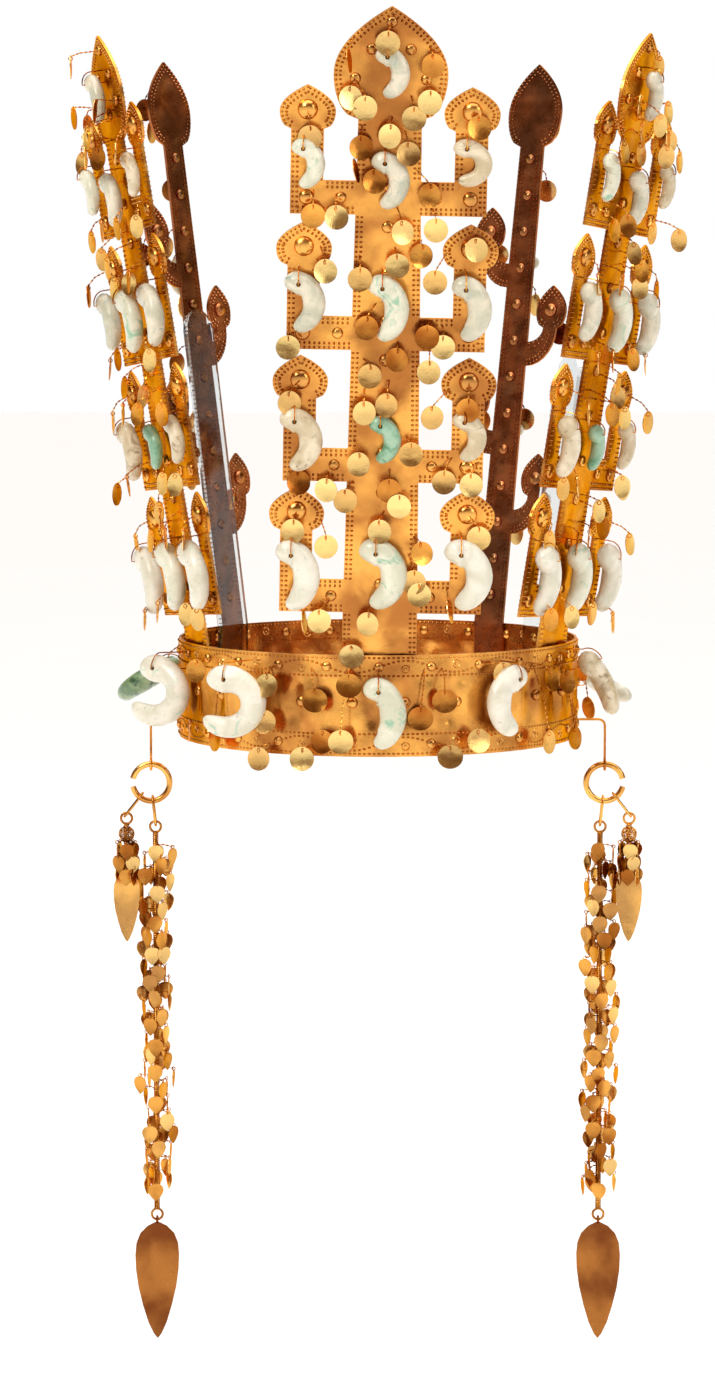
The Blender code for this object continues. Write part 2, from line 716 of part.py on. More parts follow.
def build_band():
    """The headband with its bosses, bead hooks, spangles and pendant hooks."""
    ring = flat_plate([oval_outline(0.0), oval_outline(BAND_WALL)], BAND_HEIGHT)
    ring.transform(Matrix.Translation((0, 0, BAND_HEIGHT / 2)))
    node = piece("band", ring, "gold")
    shells = []
    for index in range(BAND_BOSSES):
        azimuth = 2 * math.pi * (index + 0.5) / BAND_BOSSES
        for height in (BAND_BOSS_INSET, BAND_HEIGHT - BAND_BOSS_INSET):
            place = wall_place(azimuth, height)
            shells.append(boss(0, 0, SMALL_BOSS_RADIUS, 6, place, 0.0))
    for degrees in BAND_SPANGLE_DEGREES:
        place = wall_place(math.radians(degrees), BAND_HEIGHT * 0.55)
        shells += spangle(0, 0, 0.25 * (-1) ** degrees, place, 0.0)
    for name, degrees, size, top, bow_side, stone in BAND_BEADS:
        height = BEAD_HEIGHT * size
        place = wall_place(math.radians(degrees), BAND_HEIGHT * top)
        spread, curl = BEAD_BOWS.get(name, (1.0, 1.0))
        head = bead_head(height, bow_side, 0.0, spread)
        mesh = bead_mesh(height, bow_side, 0.0, spread, curl)
        hang = hang_turn(head, *HANGING_BEADS.get(name, (0.0, 0.0, 0.0)))
        shells.append(moved(bead_hook(head, height, 0.0, hang), place))
        drilled_bead("band_bead_" + name, mesh, head, height, place @ hang, stone)
    for side in (-1, 1):
        shells += pendant_hook(side)
    join_by_boolean(node, shells, "UNION", Matrix.Identity(4))


# Clear strips


def build_strip(name, azimuth, height, behind):
    """A clear strip with a round top that stands inside the band."""
    half = STRIP_WIDTH / 2
    outline = [(half, -FOOT_DEPTH)]
    steps = 8
    for index in range(steps + 1):
        angle = math.pi * index / steps
        outline.append((half * math.cos(angle), height - half + half * math.sin(angle)))
    outline.append((-half, -FOOT_DEPTH))
    plate = straight_foot(flat_plate([outline], STRIP_THICKNESS))
    piece(name, plate, "clear_plastic", upright_place(azimuth, half, STRIP_THICKNESS, 0.0, behind))


# Pendants


def long_link(name, centre, direction, matrix):
    """An oval link in the plane of a direction and the Y axis."""
    half = LINK_LENGTH / 2 - LINK_WIDTH / 2
    points = []
    for end in (1, -1):
        for index in range(6):
            angle = math.pi * index / 5 + (0.0 if end > 0 else math.pi)
            along = half * end + LINK_WIDTH / 2 * math.sin(angle)
            points.append(centre + direction * along + Vector((0, LINK_WIDTH / 2 * math.cos(angle), 0)))
    piece(name, tube(points, LINK_WIRE / 2, closed=True, resolution=0), "gold", matrix)


def leaf_outline(width, length):
    """A pointed leaf that hangs down from its stalk at zero."""
    side = ((0.10, 0.0), (0.62, 0.10), (0.98, 0.32), (0.92, 0.58), (0.50, 0.86))
    right = [(width / 2 * across, -length * down) for across, down in side]
    left = [(-across, up) for across, up in reversed(right)]
    return right + [(0.0, -length)] + left


def leaf_plate(width, length, sheet, fold):
    """A leaf in the XZ plane with its two halves folded forward along the middle."""
    mesh = flat_plate([leaf_outline(width, length)], sheet)
    mesh = folded(mesh, (0, 0, 0), "Y", (1, 0, 0), -fold)
    mesh = folded(mesh, (0, 0, 0), "Y", (-1, 0, 0), fold)
    return moved(mesh, STAND_UP)


def heart_on_wire(height, azimuth, reach, core):
    """A small heart-shaped leaf on a wire that stands out from a strand's core."""
    outline = (
        (0.0, -HEART_HEIGHT),
        (HEART_WIDTH / 2, -HEART_HEIGHT * 0.38),
        (HEART_WIDTH * 0.30, 0.0),
        (-HEART_WIDTH * 0.30, 0.0),
        (-HEART_WIDTH / 2, -HEART_HEIGHT * 0.38),
    )
    leaf = moved(flat_plate([outline], HEART_SHEET), STAND_UP)
    turn = Matrix.Rotation(azimuth, 4, "Z")
    place = turn @ Matrix.Translation((0, -reach, HEART_HEIGHT * 0.22))
    wire = tube([(0, 0, 0), (0, -reach, 0)], SPANGLE_WIRE / 2, resolution=0)
    up = Matrix.Translation((0, 0, height))
    return [moved(leaf, up @ place), moved(wire, up @ turn)]


def strand_core(length, waists):
    """The coiled core as a turned rod with waists."""
    points = []
    shares = []
    steps = waists * 2
    for index in range(steps + 1):
        points.append((0, 0, -length * index / steps))
        shares.append(1.0 if index % 2 else 0.62)
    return tube(points, STRAND_CORE / 2, resolution=2, shares=shares)


def build_pendant(prefix, side):
    """Ring, links, long strand, short strand and end leaf of one pendant."""
    ring_top = Vector((PENDANT_OFFSET * side, 0.0, -PENDANT_DROP))
    ring_centre = ring_top - Vector((0, 0, RING_RADIUS))
    flat = Matrix.Translation(ring_centre)
    points = []
    turns = 16
    for index in range(turns + 1):
        angle = RING_MOUTH / 2 + (2 * math.pi - RING_MOUTH) * index / turns
        angle = angle if side > 0 else math.pi - angle
        points.append((RING_RADIUS * math.cos(angle), 0, RING_RADIUS * math.sin(angle)))
    piece(prefix + "_ring", tube(points, RING_WIRE / 2, resolution=1), "gold", flat)

    for link, angle in (("main_link", MAIN_LINK_ANGLE), ("short_link", SHORT_LINK_ANGLE)):
        direction = Vector((math.cos(angle) * -side, 0, math.sin(angle)))
        inner = RING_RADIUS - RING_WIRE / 2 - GAP - LINK_WIRE / 2
        centre = direction * (inner + LINK_LENGTH / 2)
        long_link(prefix + "_" + link, centre, direction, flat)
        foot = direction * (inner + LINK_LENGTH - LINK_WIRE - GAP)
        eye = foot - Vector((0, 0, EYE_RADIUS - LINK_WIRE / 2))
        if link == "main_link":
            build_main_strand(prefix, flat @ Matrix.Translation(eye))
        else:
            build_short_strand(prefix, flat @ Matrix.Translation(eye), side)


def build_main_strand(prefix, matrix):
    """The long strand from its top eye down to its bottom eye, and the end leaf."""
    core_top = -EYE_RADIUS
    core = strand_core(STRAND_LENGTH, STRAND_WAISTS)
    core = moved(core, Matrix.Translation((0, 0, core_top)))
    node = piece(prefix + "_main_strand", core, "gold", matrix)
    shells = [eye_loop((0, 0, 0), EYE_RADIUS, LINK_WIRE, "Y")]
    bottom = core_top - STRAND_LENGTH - EYE_RADIUS
    shells.append(eye_loop((0, 0, bottom), EYE_RADIUS, LINK_WIRE, "Y"))
    spacing = STRAND_LENGTH / STRAND_TIERS
    for tier in range(STRAND_TIERS):
        for half in (0, 1):
            azimuth = math.pi * half + tier * math.radians(68.0)
            height = core_top - spacing * (tier + 0.35 + 0.3 * half)
            shells += heart_on_wire(height, azimuth, STRAND_REACH, STRAND_CORE)
    join_by_boolean(node, shells, "UNION", matrix)

    hinge = Matrix.Translation((0, 0, bottom - EYE_RADIUS))
    loop_radius = LINK_WIRE + GAP
    leaf = leaf_plate(END_LEAF_WIDTH, END_LEAF_LENGTH, LEAF_SHEET, LEAF_FOLD)
    leaf = moved(leaf, Matrix.Translation((0, 0, -loop_radius)))
    end = piece(prefix + "_end_leaf", leaf, "gold", matrix @ hinge)
    loop = eye_loop((0, 0, 0), loop_radius, LINK_WIRE, "X")
    join_by_boolean(end, [loop], "UNION", matrix @ hinge)


def build_short_strand(prefix, matrix, side):
    """The short strand with its small leaves, round cage and two large leaves."""
    core_top = -EYE_RADIUS
    core = moved(strand_core(SHORT_STRAND_LENGTH, 2), Matrix.Translation((0, 0, core_top)))
    node = piece(prefix + "_short_strand", core, "gold", matrix)
    shells = [eye_loop((0, 0, 0), EYE_RADIUS, LINK_WIRE, "Y")]
    cage_up = core_top - SHORT_STRAND_LENGTH * 0.22
    cage = ((0.0, 0.30), (0.3, 0.85), (0.7, 0.85), (1.0, 0.30))
    reach = STRAND_CORE * 1.1
    points = [(0, 0, cage_up - reach * 2 * (share - 0.5)) for share, wide in cage]
    shells.append(tube(points, reach, resolution=3, shares=[wide for share, wide in cage]))
    for index in range(3):
        azimuth = math.radians(80.0) * side + index * math.radians(120.0)
        height = core_top - SHORT_STRAND_LENGTH * (0.55 + 0.1 * index)
        shells += heart_on_wire(height, azimuth, STRAND_REACH * 0.7, STRAND_CORE)
    foot = core_top - SHORT_STRAND_LENGTH * 0.96
    large = leaf_plate(LARGE_LEAF_WIDTH, LARGE_LEAF_LENGTH, LEAF_SHEET, LEAF_FOLD * 2)
    shells.append(moved(large, Matrix.Translation((0, 0, foot))))
    join_by_boolean(node, shells, "UNION", matrix)


clear_scene()
crown = new_collection("gold_crown")
helpers = new_collection("helpers")
materials = {name: principled(name) for name in COLOURS}

build_band()
build_tree("front_tree", FRONT_TREE_AZIMUTH, FRONT_TREE_ROLL, 0.0, loose_beads=True)
build_tree("left_tree", LEFT_TREE_AZIMUTH, LEFT_TREE_ROLL, SIDE_TREE_DROP, loose_beads=False)
build_tree("right_tree", RIGHT_TREE_AZIMUTH, RIGHT_TREE_ROLL, SIDE_TREE_DROP, loose_beads=False)
build_antler("left_antler", LEFT_ANTLER_AZIMUTH)
build_antler("right_antler", RIGHT_ANTLER_AZIMUTH)
antler_room = chord_inset(LEFT_ANTLER_AZIMUTH, ANTLER_FOOT_WIDTH / 2) + SHEET + GAP
strip_room = chord_inset(LEFT_ANTLER_AZIMUTH, STRIP_WIDTH / 2)
build_strip("left_strip", LEFT_ANTLER_AZIMUTH, LEFT_STRIP_HEIGHT, antler_room - strip_room)
build_strip("right_strip", RIGHT_STRIP_AZIMUTH, RIGHT_STRIP_HEIGHT, 0.0)
build_pendant("left_pendant", -1)
build_pendant("right_pendant", 1)
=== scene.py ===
"""Looks of the gold crown: punched and domed sheet gold, jade comma beads, round spangles
on twisted wires, clear strips and the two hanging pendants.

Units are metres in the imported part's frame: Z up, the front faces -Y and the origin is the
centre of the band's lower edge.  Plates are drawn flat, X across, Y up the plate and Z away
from its outer face, and are then stood up on the band as the CAD part stands them.
"""

import math
import random

import bmesh
import bpy
import numpy as np
from mathutils import Matrix, Vector
from mathutils.geometry import delaunay_2d_cdt


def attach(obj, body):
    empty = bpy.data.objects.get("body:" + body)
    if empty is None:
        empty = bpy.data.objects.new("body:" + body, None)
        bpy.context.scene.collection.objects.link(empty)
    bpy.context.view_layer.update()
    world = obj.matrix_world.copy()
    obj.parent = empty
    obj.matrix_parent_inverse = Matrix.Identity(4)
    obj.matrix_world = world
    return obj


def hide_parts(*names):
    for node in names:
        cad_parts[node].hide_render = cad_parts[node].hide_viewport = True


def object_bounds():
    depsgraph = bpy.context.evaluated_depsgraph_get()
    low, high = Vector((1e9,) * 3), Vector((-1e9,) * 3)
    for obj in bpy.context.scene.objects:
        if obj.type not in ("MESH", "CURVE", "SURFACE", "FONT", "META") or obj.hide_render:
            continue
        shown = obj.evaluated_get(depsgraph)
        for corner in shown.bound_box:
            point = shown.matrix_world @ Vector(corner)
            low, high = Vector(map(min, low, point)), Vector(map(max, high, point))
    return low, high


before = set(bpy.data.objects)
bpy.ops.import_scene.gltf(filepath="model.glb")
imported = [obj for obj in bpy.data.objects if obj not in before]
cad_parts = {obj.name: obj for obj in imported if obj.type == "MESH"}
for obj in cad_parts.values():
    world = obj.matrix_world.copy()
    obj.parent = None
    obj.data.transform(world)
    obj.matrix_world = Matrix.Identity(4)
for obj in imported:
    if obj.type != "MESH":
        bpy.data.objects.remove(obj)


def box_lists():
    """The whole object's lowest and highest corners as plain lists."""
    low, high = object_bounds()
    return [[float(value) for value in low], [float(value) for value in high]]


cad_box = box_lists()

# Headband, as in the CAD part
BAND_WIDTH = 0.180
BAND_DEPTH = 0.200
BAND_HEIGHT = 0.044
BAND_WALL = 0.0012
GAP = 0.0003

# Trees, as in the CAD part
SHEET = 0.0012
LEAN = math.radians(8.2)
BEND_ABOVE_RIM = 0.0006
FOOT_DEPTH = 0.030
TREE_HEIGHT = 0.2775
BAR_FOOTS = tuple(TREE_HEIGHT * share for share in (0.0670, 0.2728, 0.4775, 0.6850))
BAR_HEIGHT = TREE_HEIGHT * 0.0515
POST_HEIGHT = TREE_HEIGHT * 0.0771
BUD_HEIGHT = TREE_HEIGHT * 0.0670
TOP_BUD_HEIGHT = TREE_HEIGHT * 0.1705
TREE_NECK = TREE_HEIGHT - TOP_BUD_HEIGHT
STEM_FOOT_WIDTH = 0.0325
STEM_TOP_WIDTH = 0.0255
BAR_REACH_LOW = 0.0434
BAR_REACH_HIGH = 0.0414
POST_WIDTH = 0.0138
BUD_WIDTH = 0.0236
TOP_BUD_WIDTH = 0.0480
SIDE_TREE_DROP = 0.0060

# Antlers, as in the CAD part
ANTLER_HEIGHT = 0.2640
ANTLER_FOOT_WIDTH = 0.0170
ANTLER_TOP_WIDTH = 0.0130
ANTLER_BUD_WIDTH = 0.0170
ANTLER_BUD_HEIGHT = 0.0200
ANTLER_TOP_BUD_WIDTH = 0.0310
ANTLER_TOP_BUD_HEIGHT = 0.0390
ANTLER_REACH = 0.0240
ANTLER_ARM = 0.0075
ANTLER_BRANCHES = ((-1, 0.16), (1, 0.30), (-1, 0.46), (1, 0.60))

# Beads, as in the CAD part
BEAD_HEIGHT = 0.0305
BEAD_DRILL = 0.0020
BEAD_FLATTENING = 0.80
BEAD_BOW_ACROSS = 0.275
BEAD_BOW_CENTRE = 0.32
BEAD_BOW_UP = 0.345
BEAD_HEAD_DEGREES = 88
BEAD_HEAD_SHARE = 0.205
STONE_STANDOFF = 0.0016
HOOK_WIRE = 0.0011

# Pendants, as in the CAD part
PENDANT_OFFSET = 0.1030
PENDANT_DROP = 0.0143
PENDANT_HOOK_RISE = 0.0062
PENDANT_HOOK_BEND = 0.0030
RING_RADIUS = 0.0084
RING_WIRE = 0.0027
RING_MOUTH = math.radians(26.0)
LINK_WIRE = 0.0011
LINK_LENGTH = 0.0135
LINK_WIDTH = 0.0056
EYE_RADIUS = 0.0025
LINK_ANGLES = {"main": math.radians(-84.0), "short": math.radians(-128.0)}
STRAND_LENGTH = 0.1740
STRAND_REACH = 0.0066
SHORT_STRAND_LENGTH = 0.0230
END_LEAF_LENGTH = 0.0540
END_LEAF_WIDTH = 0.0200
LARGE_LEAF_LENGTH = 0.0320
LARGE_LEAF_WIDTH = 0.0120

# Goldsmith's work on the plates
GRID_STEP = 0.0021
DOT_PITCH = 0.0021
DOT_RADIUS = 0.00068
DOT_HEIGHT = 0.00072
EDGE_ROWS = (0.0009, 0.0028)
# Tone of the foot ring of each dot and boss, which the material darkens: painted shade round them
PAINTED_SHADOW_TONE = -0.45
BUD_DOME_RADIUS = 0.0044
BUD_DOME_HEIGHT = 0.0026
SMALL_DOME_RADIUS = 0.0026
SMALL_DOME_HEIGHT = 0.0015
WIRE = 0.00036
SPANGLE_RADIUS = 0.0052
SPANGLE_DISH = 0.0005
SPANGLE_HOLE_SHARE = 0.72
SPANGLE_SHEET = 0.0003
LOOP_RADIUS = 0.0009
LOOP_WIRE = WIRE * 0.62
PLAIN_EDGE = 0.0030
EDGE_FADE = 0.0050
FINE_PITCH = 0.0006

# How pale the material makes a part of the work, from darkened with painted shade at 0 to pale at 1
WIRE_SHADE = 0.35
HOOK_SHADE = 0.4
PLAIN_SHADE = 0.5
DOME_SHADE = 0.55


# Mesh builder


def moved(points, matrix):
    """Points turned and shifted by a matrix, or as they are where there is none."""
    points = np.asarray(points, dtype=float)
    if matrix is None:
        return points
    return points @ np.array(matrix.to_3x3()).T + np.array(matrix.to_translation())


def circle(count, radius=1.0, lead=0.0):
    """Pairs around a circle; the lead shifts them by a share of a step."""
    angles = [2 * math.pi * (index + lead) / count for index in range(count)]
    return [(radius * math.cos(angle), radius * math.sin(angle)) for angle in angles]


class Shape:
    """Points and faces that are gathered before they become one mesh."""

    def __init__(self):
        self.blocks = []
        self.faces = []
        self.shades = []
        self.count = 0

    def add(self, points, faces, matrix=None, shade=PLAIN_SHADE):
        """Add points and faces; the shade, one or one a point, varies the material."""
        points = moved(points, matrix)
        start = self.count
        self.faces.extend(tuple(index + start for index in face) for face in faces)
        self.blocks.append(points)
        self.shades.extend(shade if isinstance(shade, list) else [shade] * len(points))
        self.count += len(points)

    def merge(self, other, matrix=None):
        """Add all of another shape, moved by the matrix."""
        self.add(np.concatenate(other.blocks), other.faces, matrix, other.shades)


def mark_edges(mesh, degrees, first=False):
    """Leave edges above this angle sharp; the first time, faces are turned and smoothed."""
    limit = math.radians(degrees)
    tidy = bmesh.new()
    tidy.from_mesh(mesh)
    if first:
        bmesh.ops.recalc_face_normals(tidy, faces=tidy.faces)
        for face in tidy.faces:
            face.smooth = True
    for edge in tidy.edges:
        if len(edge.link_faces) == 2:
            edge.smooth = edge.calc_face_angle(0.0) < limit
    tidy.to_mesh(mesh)
    tidy.free()


def place_object(name, data):
    """A new object in the scene."""
    node = bpy.data.objects.new(name, data)
    bpy.context.scene.collection.objects.link(node)
    return node


def make_piece(name, shape, material, body, nodes, smooth_degrees=50):
    """Turn a shape into a mesh object that rides on its body and stands for its nodes."""
    mesh = bpy.data.meshes.new(name)
    mesh.from_pydata(np.concatenate(shape.blocks).tolist(), [], shape.faces)
    layer = mesh.attributes.new("shade", "FLOAT", "POINT")
    layer.data.foreach_set("value", shape.shades)
    mesh.validate()
    mark_edges(mesh, smooth_degrees, first=True)
    mesh.materials.append(material)
    node = place_object(name, mesh)
    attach(node, body)
    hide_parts(*nodes)
    return node


def grid_faces(rows, columns, closed=False):
    """Quads of a grid of points; closed joins the last column to the first."""
    faces = []
    spans = columns if closed else columns - 1
    for row in range(rows - 1):
        for column in range(spans):
            after = (column + 1) % columns
            low = row * columns
            high = low + columns
            faces.append((low + column, low + after, high + after, high + column))
    return faces


def tube_mesh(points, radius, sides=6, closed=False, shares=None):
    """Points and faces of a round wire through the given points."""
    spots = [Vector(point) for point in points]
    count = len(spots)
    rings = []
    across = None
    for index, spot in enumerate(spots):
        before = spots[index - 1] if index or closed else spot
        after = spots[(index + 1) % count] if index < count - 1 or closed else spot
        along = (after - before).normalized()
        if across is None:
            guide = Vector((0, 0, 1)) if abs(along.z) < 0.9 else Vector((1, 0, 0))
            across = guide.cross(along).normalized()
        else:
            across = (across - along * across.dot(along)).normalized()
        up = along.cross(across)
        wide = radius * (shares[index] if shares else 1.0)
        for cos, sin in circle(sides):
            rings.append(spot + across * cos * wide + up * sin * wide)
    faces = grid_faces(count, sides, closed=True)
    if closed:
        last = (count - 1) * sides
        for side in range(sides):
            after = (side + 1) % sides
            faces.append((last + side, last + after, after, side))
    else:
        faces.append(tuple(reversed(range(sides))))
        faces.append(tuple((count - 1) * sides + side for side in range(sides)))
    return [tuple(ring) for ring in rings], faces


def fan_faces(start, sides, top):
    """Triangles from a ring of points to the point at its top."""
    return [(start + side, start + (side + 1) % sides, top) for side in range(sides)]


def dome_mesh(radius, height, sides=8, rings=2):
    """A low dome on the plane at zero; its foot reaches a little below the plane."""
    points = []
    for ring in range(rings):
        turn = ring / rings * math.pi / 2
        high = height * math.sin(turn) if ring else -height * 0.25
        points.extend((x, y, high) for x, y in circle(sides, radius * math.cos(turn), 0.5 * ring))
    points.append((0, 0, height))
    faces = grid_faces(rings, sides, closed=True)
    return points, faces + fan_faces((rings - 1) * sides, sides, rings * sides)


def resampled(points, pitch, closed=False):
    """Points at an even pitch along a line, each with the direction there."""
    spots = [Vector(point) for point in points]
    if closed:
        spots.append(spots[0])
    lengths = [(b - a).length for a, b in zip(spots, spots[1:])]
    total = sum(lengths)
    count = max(1, int(total / pitch))
    result = []
    leg = 0
    passed = 0.0
    for index in range(count + (0 if closed else 1)):
        wanted = total * index / count
        while leg < len(lengths) - 1 and passed + lengths[leg] < wanted:
            passed += lengths[leg]
            leg += 1
        share = (wanted - passed) / max(lengths[leg], 1e-9)
        spot = spots[leg].lerp(spots[leg + 1], min(1.0, share))
        result.append((spot, (spots[leg + 1] - spots[leg]).normalized()))
    return result


# Places on the band, worked out as in the CAD part


STAND_UP = Matrix.Rotation(math.radians(90), 4, "X")


def oval_point(azimuth, inset):
    """Point of the band's oval whose outward normal has this azimuth."""
    across = BAND_WIDTH / 2 - inset
    along = BAND_DEPTH / 2 - inset
    reach = math.hypot(across * math.sin(azimuth), along * math.cos(azimuth))
    x = across ** 2 * math.sin(azimuth) / reach
    y = -(along ** 2) * math.cos(azimuth) / reach
    return Vector((x, y, 0.0))


def chord_inset(azimuth, half_width):
    """How far inside the oval a flat foot of this half width has to stand."""
    outward = Vector((math.sin(azimuth), -math.cos(azimuth), 0.0))
    along_wall = Vector((math.cos(azimuth), math.sin(azimuth), 0.0))
    across = BAND_WIDTH / 2 - BAND_WALL - GAP
    along = BAND_DEPTH / 2 - BAND_WALL - GAP
    inset = 0.0
    step = GAP / 6
    while True:
        middle = oval_point(azimuth, BAND_WALL + GAP) - outward * inset
        corners = [middle + along_wall * half_width, middle - along_wall * half_width]
        if all((p.x / across) ** 2 + (p.y / along) ** 2 <= 1.0 for p in corners):
            return inset + BAND_WALL + GAP
        inset += step


def upright_place(azimuth, half_width, roll=0.0, drop=0.0):
    """Matrix that stands a drawn plate inside the band, leaning outward above the rim."""
    outward = Vector((math.sin(azimuth), -math.cos(azimuth), 0.0))
    foot = oval_point(azimuth, 0.0) - outward * (chord_inset(azimuth, half_width) + SHEET / 2)
    foot.z = BAND_HEIGHT - drop
    bend = Matrix.Translation((0, 0, BEND_ABOVE_RIM + drop))
    turn = Matrix.Rotation(azimuth, 4, "Z") @ bend @ Matrix.Rotation(LEAN, 4, "X")
    turn = turn @ Matrix.Rotation(roll, 4, "Y") @ bend.inverted()
    return Matrix.Translation(foot) @ turn @ STAND_UP


def wall_place(azimuth, height):
    """Matrix of a spot on the band's outer face."""
    spot = oval_point(azimuth, 0.0)
    spot.z = height
    return Matrix.Translation(spot) @ Matrix.Rotation(azimuth, 4, "Z") @ STAND_UP


def tree_place(azimuth, roll, drop):
    """Where a tree's drawing goes."""
    return upright_place(azimuth, STEM_FOOT_WIDTH / 2 + FOOT_DEPTH * abs(roll), roll, drop)


TREES = {
    "front_tree": (math.radians(0.0), math.radians(1.1), 0.0),
    "left_tree": (math.radians(-71.0), math.radians(-4.5), SIDE_TREE_DROP),
    "right_tree": (math.radians(65.0), math.radians(3.8), SIDE_TREE_DROP),
}
ANTLERS = {"left_antler": math.radians(-125.0), "right_antler": math.radians(140.0)}


# Camera of the photograph


CAMERA_SPOT = Vector((-0.00925, -2.0, 0.21))
CAMERA_PITCH = math.radians(5.57)
FOCAL_PIXELS = 4431.0
PHOTO_WIDTH = 715
PHOTO_HEIGHT = 1400
SENSOR = 36.0


def add_camera():
    """A camera at the photograph's viewing angle."""
    data = bpy.data.cameras.new("camera")
    data.sensor_width = SENSOR
    data.lens = FOCAL_PIXELS * SENSOR / PHOTO_HEIGHT
    data.clip_end = 60.0
    camera = place_object("camera", data)
    camera.location = CAMERA_SPOT
    camera.rotation_euler = (math.radians(90) - CAMERA_PITCH, 0.0, 0.0)
    bpy.context.scene.camera = camera


def photo_ray(pixel):
    """Direction from the camera through one of the photograph's pixels."""
    ray = Vector((pixel[0] - PHOTO_WIDTH / 2, PHOTO_HEIGHT / 2 - pixel[1], -FOCAL_PIXELS))
    return Matrix.Rotation(math.radians(90) - CAMERA_PITCH, 3, "X") @ ray


def drawn_spot(pixel, place, out):
    """Where the photograph's pixel meets a plane at this height over a drawn plate."""
    back = place.inverted()
    start = back @ CAMERA_SPOT
    along = back.to_3x3() @ photo_ray(pixel)
    spot = start + along * ((out - start.z) / along.z)
    return spot.x, spot.y


# Outlines


BUD_BELLY = 0.40


def bud_half(width, height, neck_half, neck_up, steps):
    """Right half of an onion-shaped bud over its neck: a round belly, then a point."""
    points = []
    for index in range(1, steps):
        share = index / steps
        if share < BUD_BELLY:
            turn = 1.0 - share / BUD_BELLY
            wide = neck_half + (width / 2 - neck_half) * math.sqrt(1.0 - turn ** 2)
        else:
            wide = width / 2 * (1.0 - ((share - BUD_BELLY) / (1.0 - BUD_BELLY)) ** 2)
        points.append((wide, neck_up + height * share))
    return points


def whole_bud(centre, width, height, neck_half, neck_up, steps=14):
    """A whole bud, from its outer side over the tip to its inner side."""
    side = bud_half(width, height, neck_half, neck_up, steps)
    outer = [(centre + across, up) for across, up in side]
    inner = [(centre - across, up) for across, up in reversed(side)]
    return outer + [(centre, neck_up + height)] + inner


def bar_reach(level):
    """Half length of a crossbar."""
    share = level / (len(BAR_FOOTS) - 1)
    return BAR_REACH_LOW + (BAR_REACH_HIGH - BAR_REACH_LOW) * share


def post_centre(level):
    """How far a post stands from the middle of the stem."""
    return bar_reach(level) - POST_WIDTH / 2


def stem_half(up):
    """Half width of a tree's stem."""
    share = up / TREE_HEIGHT
    return (STEM_FOOT_WIDTH + (STEM_TOP_WIDTH - STEM_FOOT_WIDTH) * share) / 2


def tree_outline():
    """Outline of a tree: the right side is drawn upward and the left mirrors it."""
    side = [(STEM_FOOT_WIDTH / 2, -FOOT_DEPTH)]
    for level, foot in enumerate(BAR_FOOTS):
        top = foot + BAR_HEIGHT
        reach = bar_reach(level)
        neck = top + POST_HEIGHT
        centre = post_centre(level)
        side.append((stem_half(foot), foot))
        side.append((reach, foot))
        side.append((reach, neck))
        side.extend(whole_bud(centre, BUD_WIDTH, BUD_HEIGHT, POST_WIDTH / 2, neck))
        side.append((reach - POST_WIDTH, neck))
        side.append((reach - POST_WIDTH, top))
        side.append((stem_half(top), top))
    half = stem_half(TREE_NECK)
    side.append((half, TREE_NECK))
    side.extend(bud_half(TOP_BUD_WIDTH, TOP_BUD_HEIGHT, half, TREE_NECK, 26))
    mirrored = [(-across, up) for across, up in reversed(side)]
    return side + [(0.0, TREE_HEIGHT)] + mirrored


def antler_half(up):
    """Half width of an antler's stem."""
    share = up / ANTLER_HEIGHT
    return (ANTLER_FOOT_WIDTH + (ANTLER_TOP_WIDTH - ANTLER_FOOT_WIDTH) * share) / 2


def antler_side(side):
    """One side of an antler, drawn upward, with its curved branches and their buds."""
    points = [(ANTLER_FOOT_WIDTH / 2, -FOOT_DEPTH)]
    for branch_side, share in ANTLER_BRANCHES:
        if branch_side != side:
            continue
        root = share * ANTLER_HEIGHT
        centre = ANTLER_REACH - ANTLER_ARM / 2
        neck = root + ANTLER_ARM * 2.4
        start = antler_half(root)
        bend_across = ANTLER_REACH - start
        steps = 7
        for index in range(steps + 1):
            angle = math.pi / 2 * index / steps
            across = start + bend_across * math.sin(angle)
            points.append((across, neck - (neck - root) * math.cos(angle)))
        bud = whole_bud(centre, ANTLER_BUD_WIDTH, ANTLER_BUD_HEIGHT, ANTLER_ARM / 2, neck)
        points.extend(bud)
        inner_rise = ANTLER_ARM * 0.9
        for index in range(steps + 1):
            angle = math.pi / 2 * (1 - index / steps)
            across = start + (bend_across - ANTLER_ARM) * math.sin(angle)
            points.append((across, neck - inner_rise * math.cos(angle)))
    neck = ANTLER_HEIGHT - ANTLER_TOP_BUD_HEIGHT
    points.append((antler_half(neck), neck))
    width = ANTLER_TOP_BUD_WIDTH
    points.extend(bud_half(width, ANTLER_TOP_BUD_HEIGHT, antler_half(neck), neck, 20))
    return [(across * side, up) for across, up in points]


def antler_outline():
    """Outline of a whole antler."""
    return antler_side(1) + [(0.0, ANTLER_HEIGHT)] + list(reversed(antler_side(-1)))


# Sheet-gold plates


def densified(outline, pitch):
    """The outline with points added so that none of its legs is longer than the pitch."""
    points = []
    for start, end in zip(outline, outline[1:] + outline[:1]):
        legs = max(1, math.ceil(math.dist(start, end) / pitch))
        for index in range(legs):
            share = index / legs
            x = start[0] + (end[0] - start[0]) * share
            points.append((x, start[1] + (end[1] - start[1]) * share))
    return points


def inside(outline, points):
    """Which of the points lie inside the outline."""
    result = np.zeros(len(points), dtype=bool)
    for (x0, y0), (x1, y1) in zip(outline, outline[1:] + outline[:1]):
        if y0 == y1:
            continue
        spans = (points[:, 1] < y0) != (points[:, 1] < y1)
        crossing = x0 + (points[:, 1] - y0) * (x1 - x0) / (y1 - y0)
        result ^= spans & (points[:, 0] < crossing)
    return result


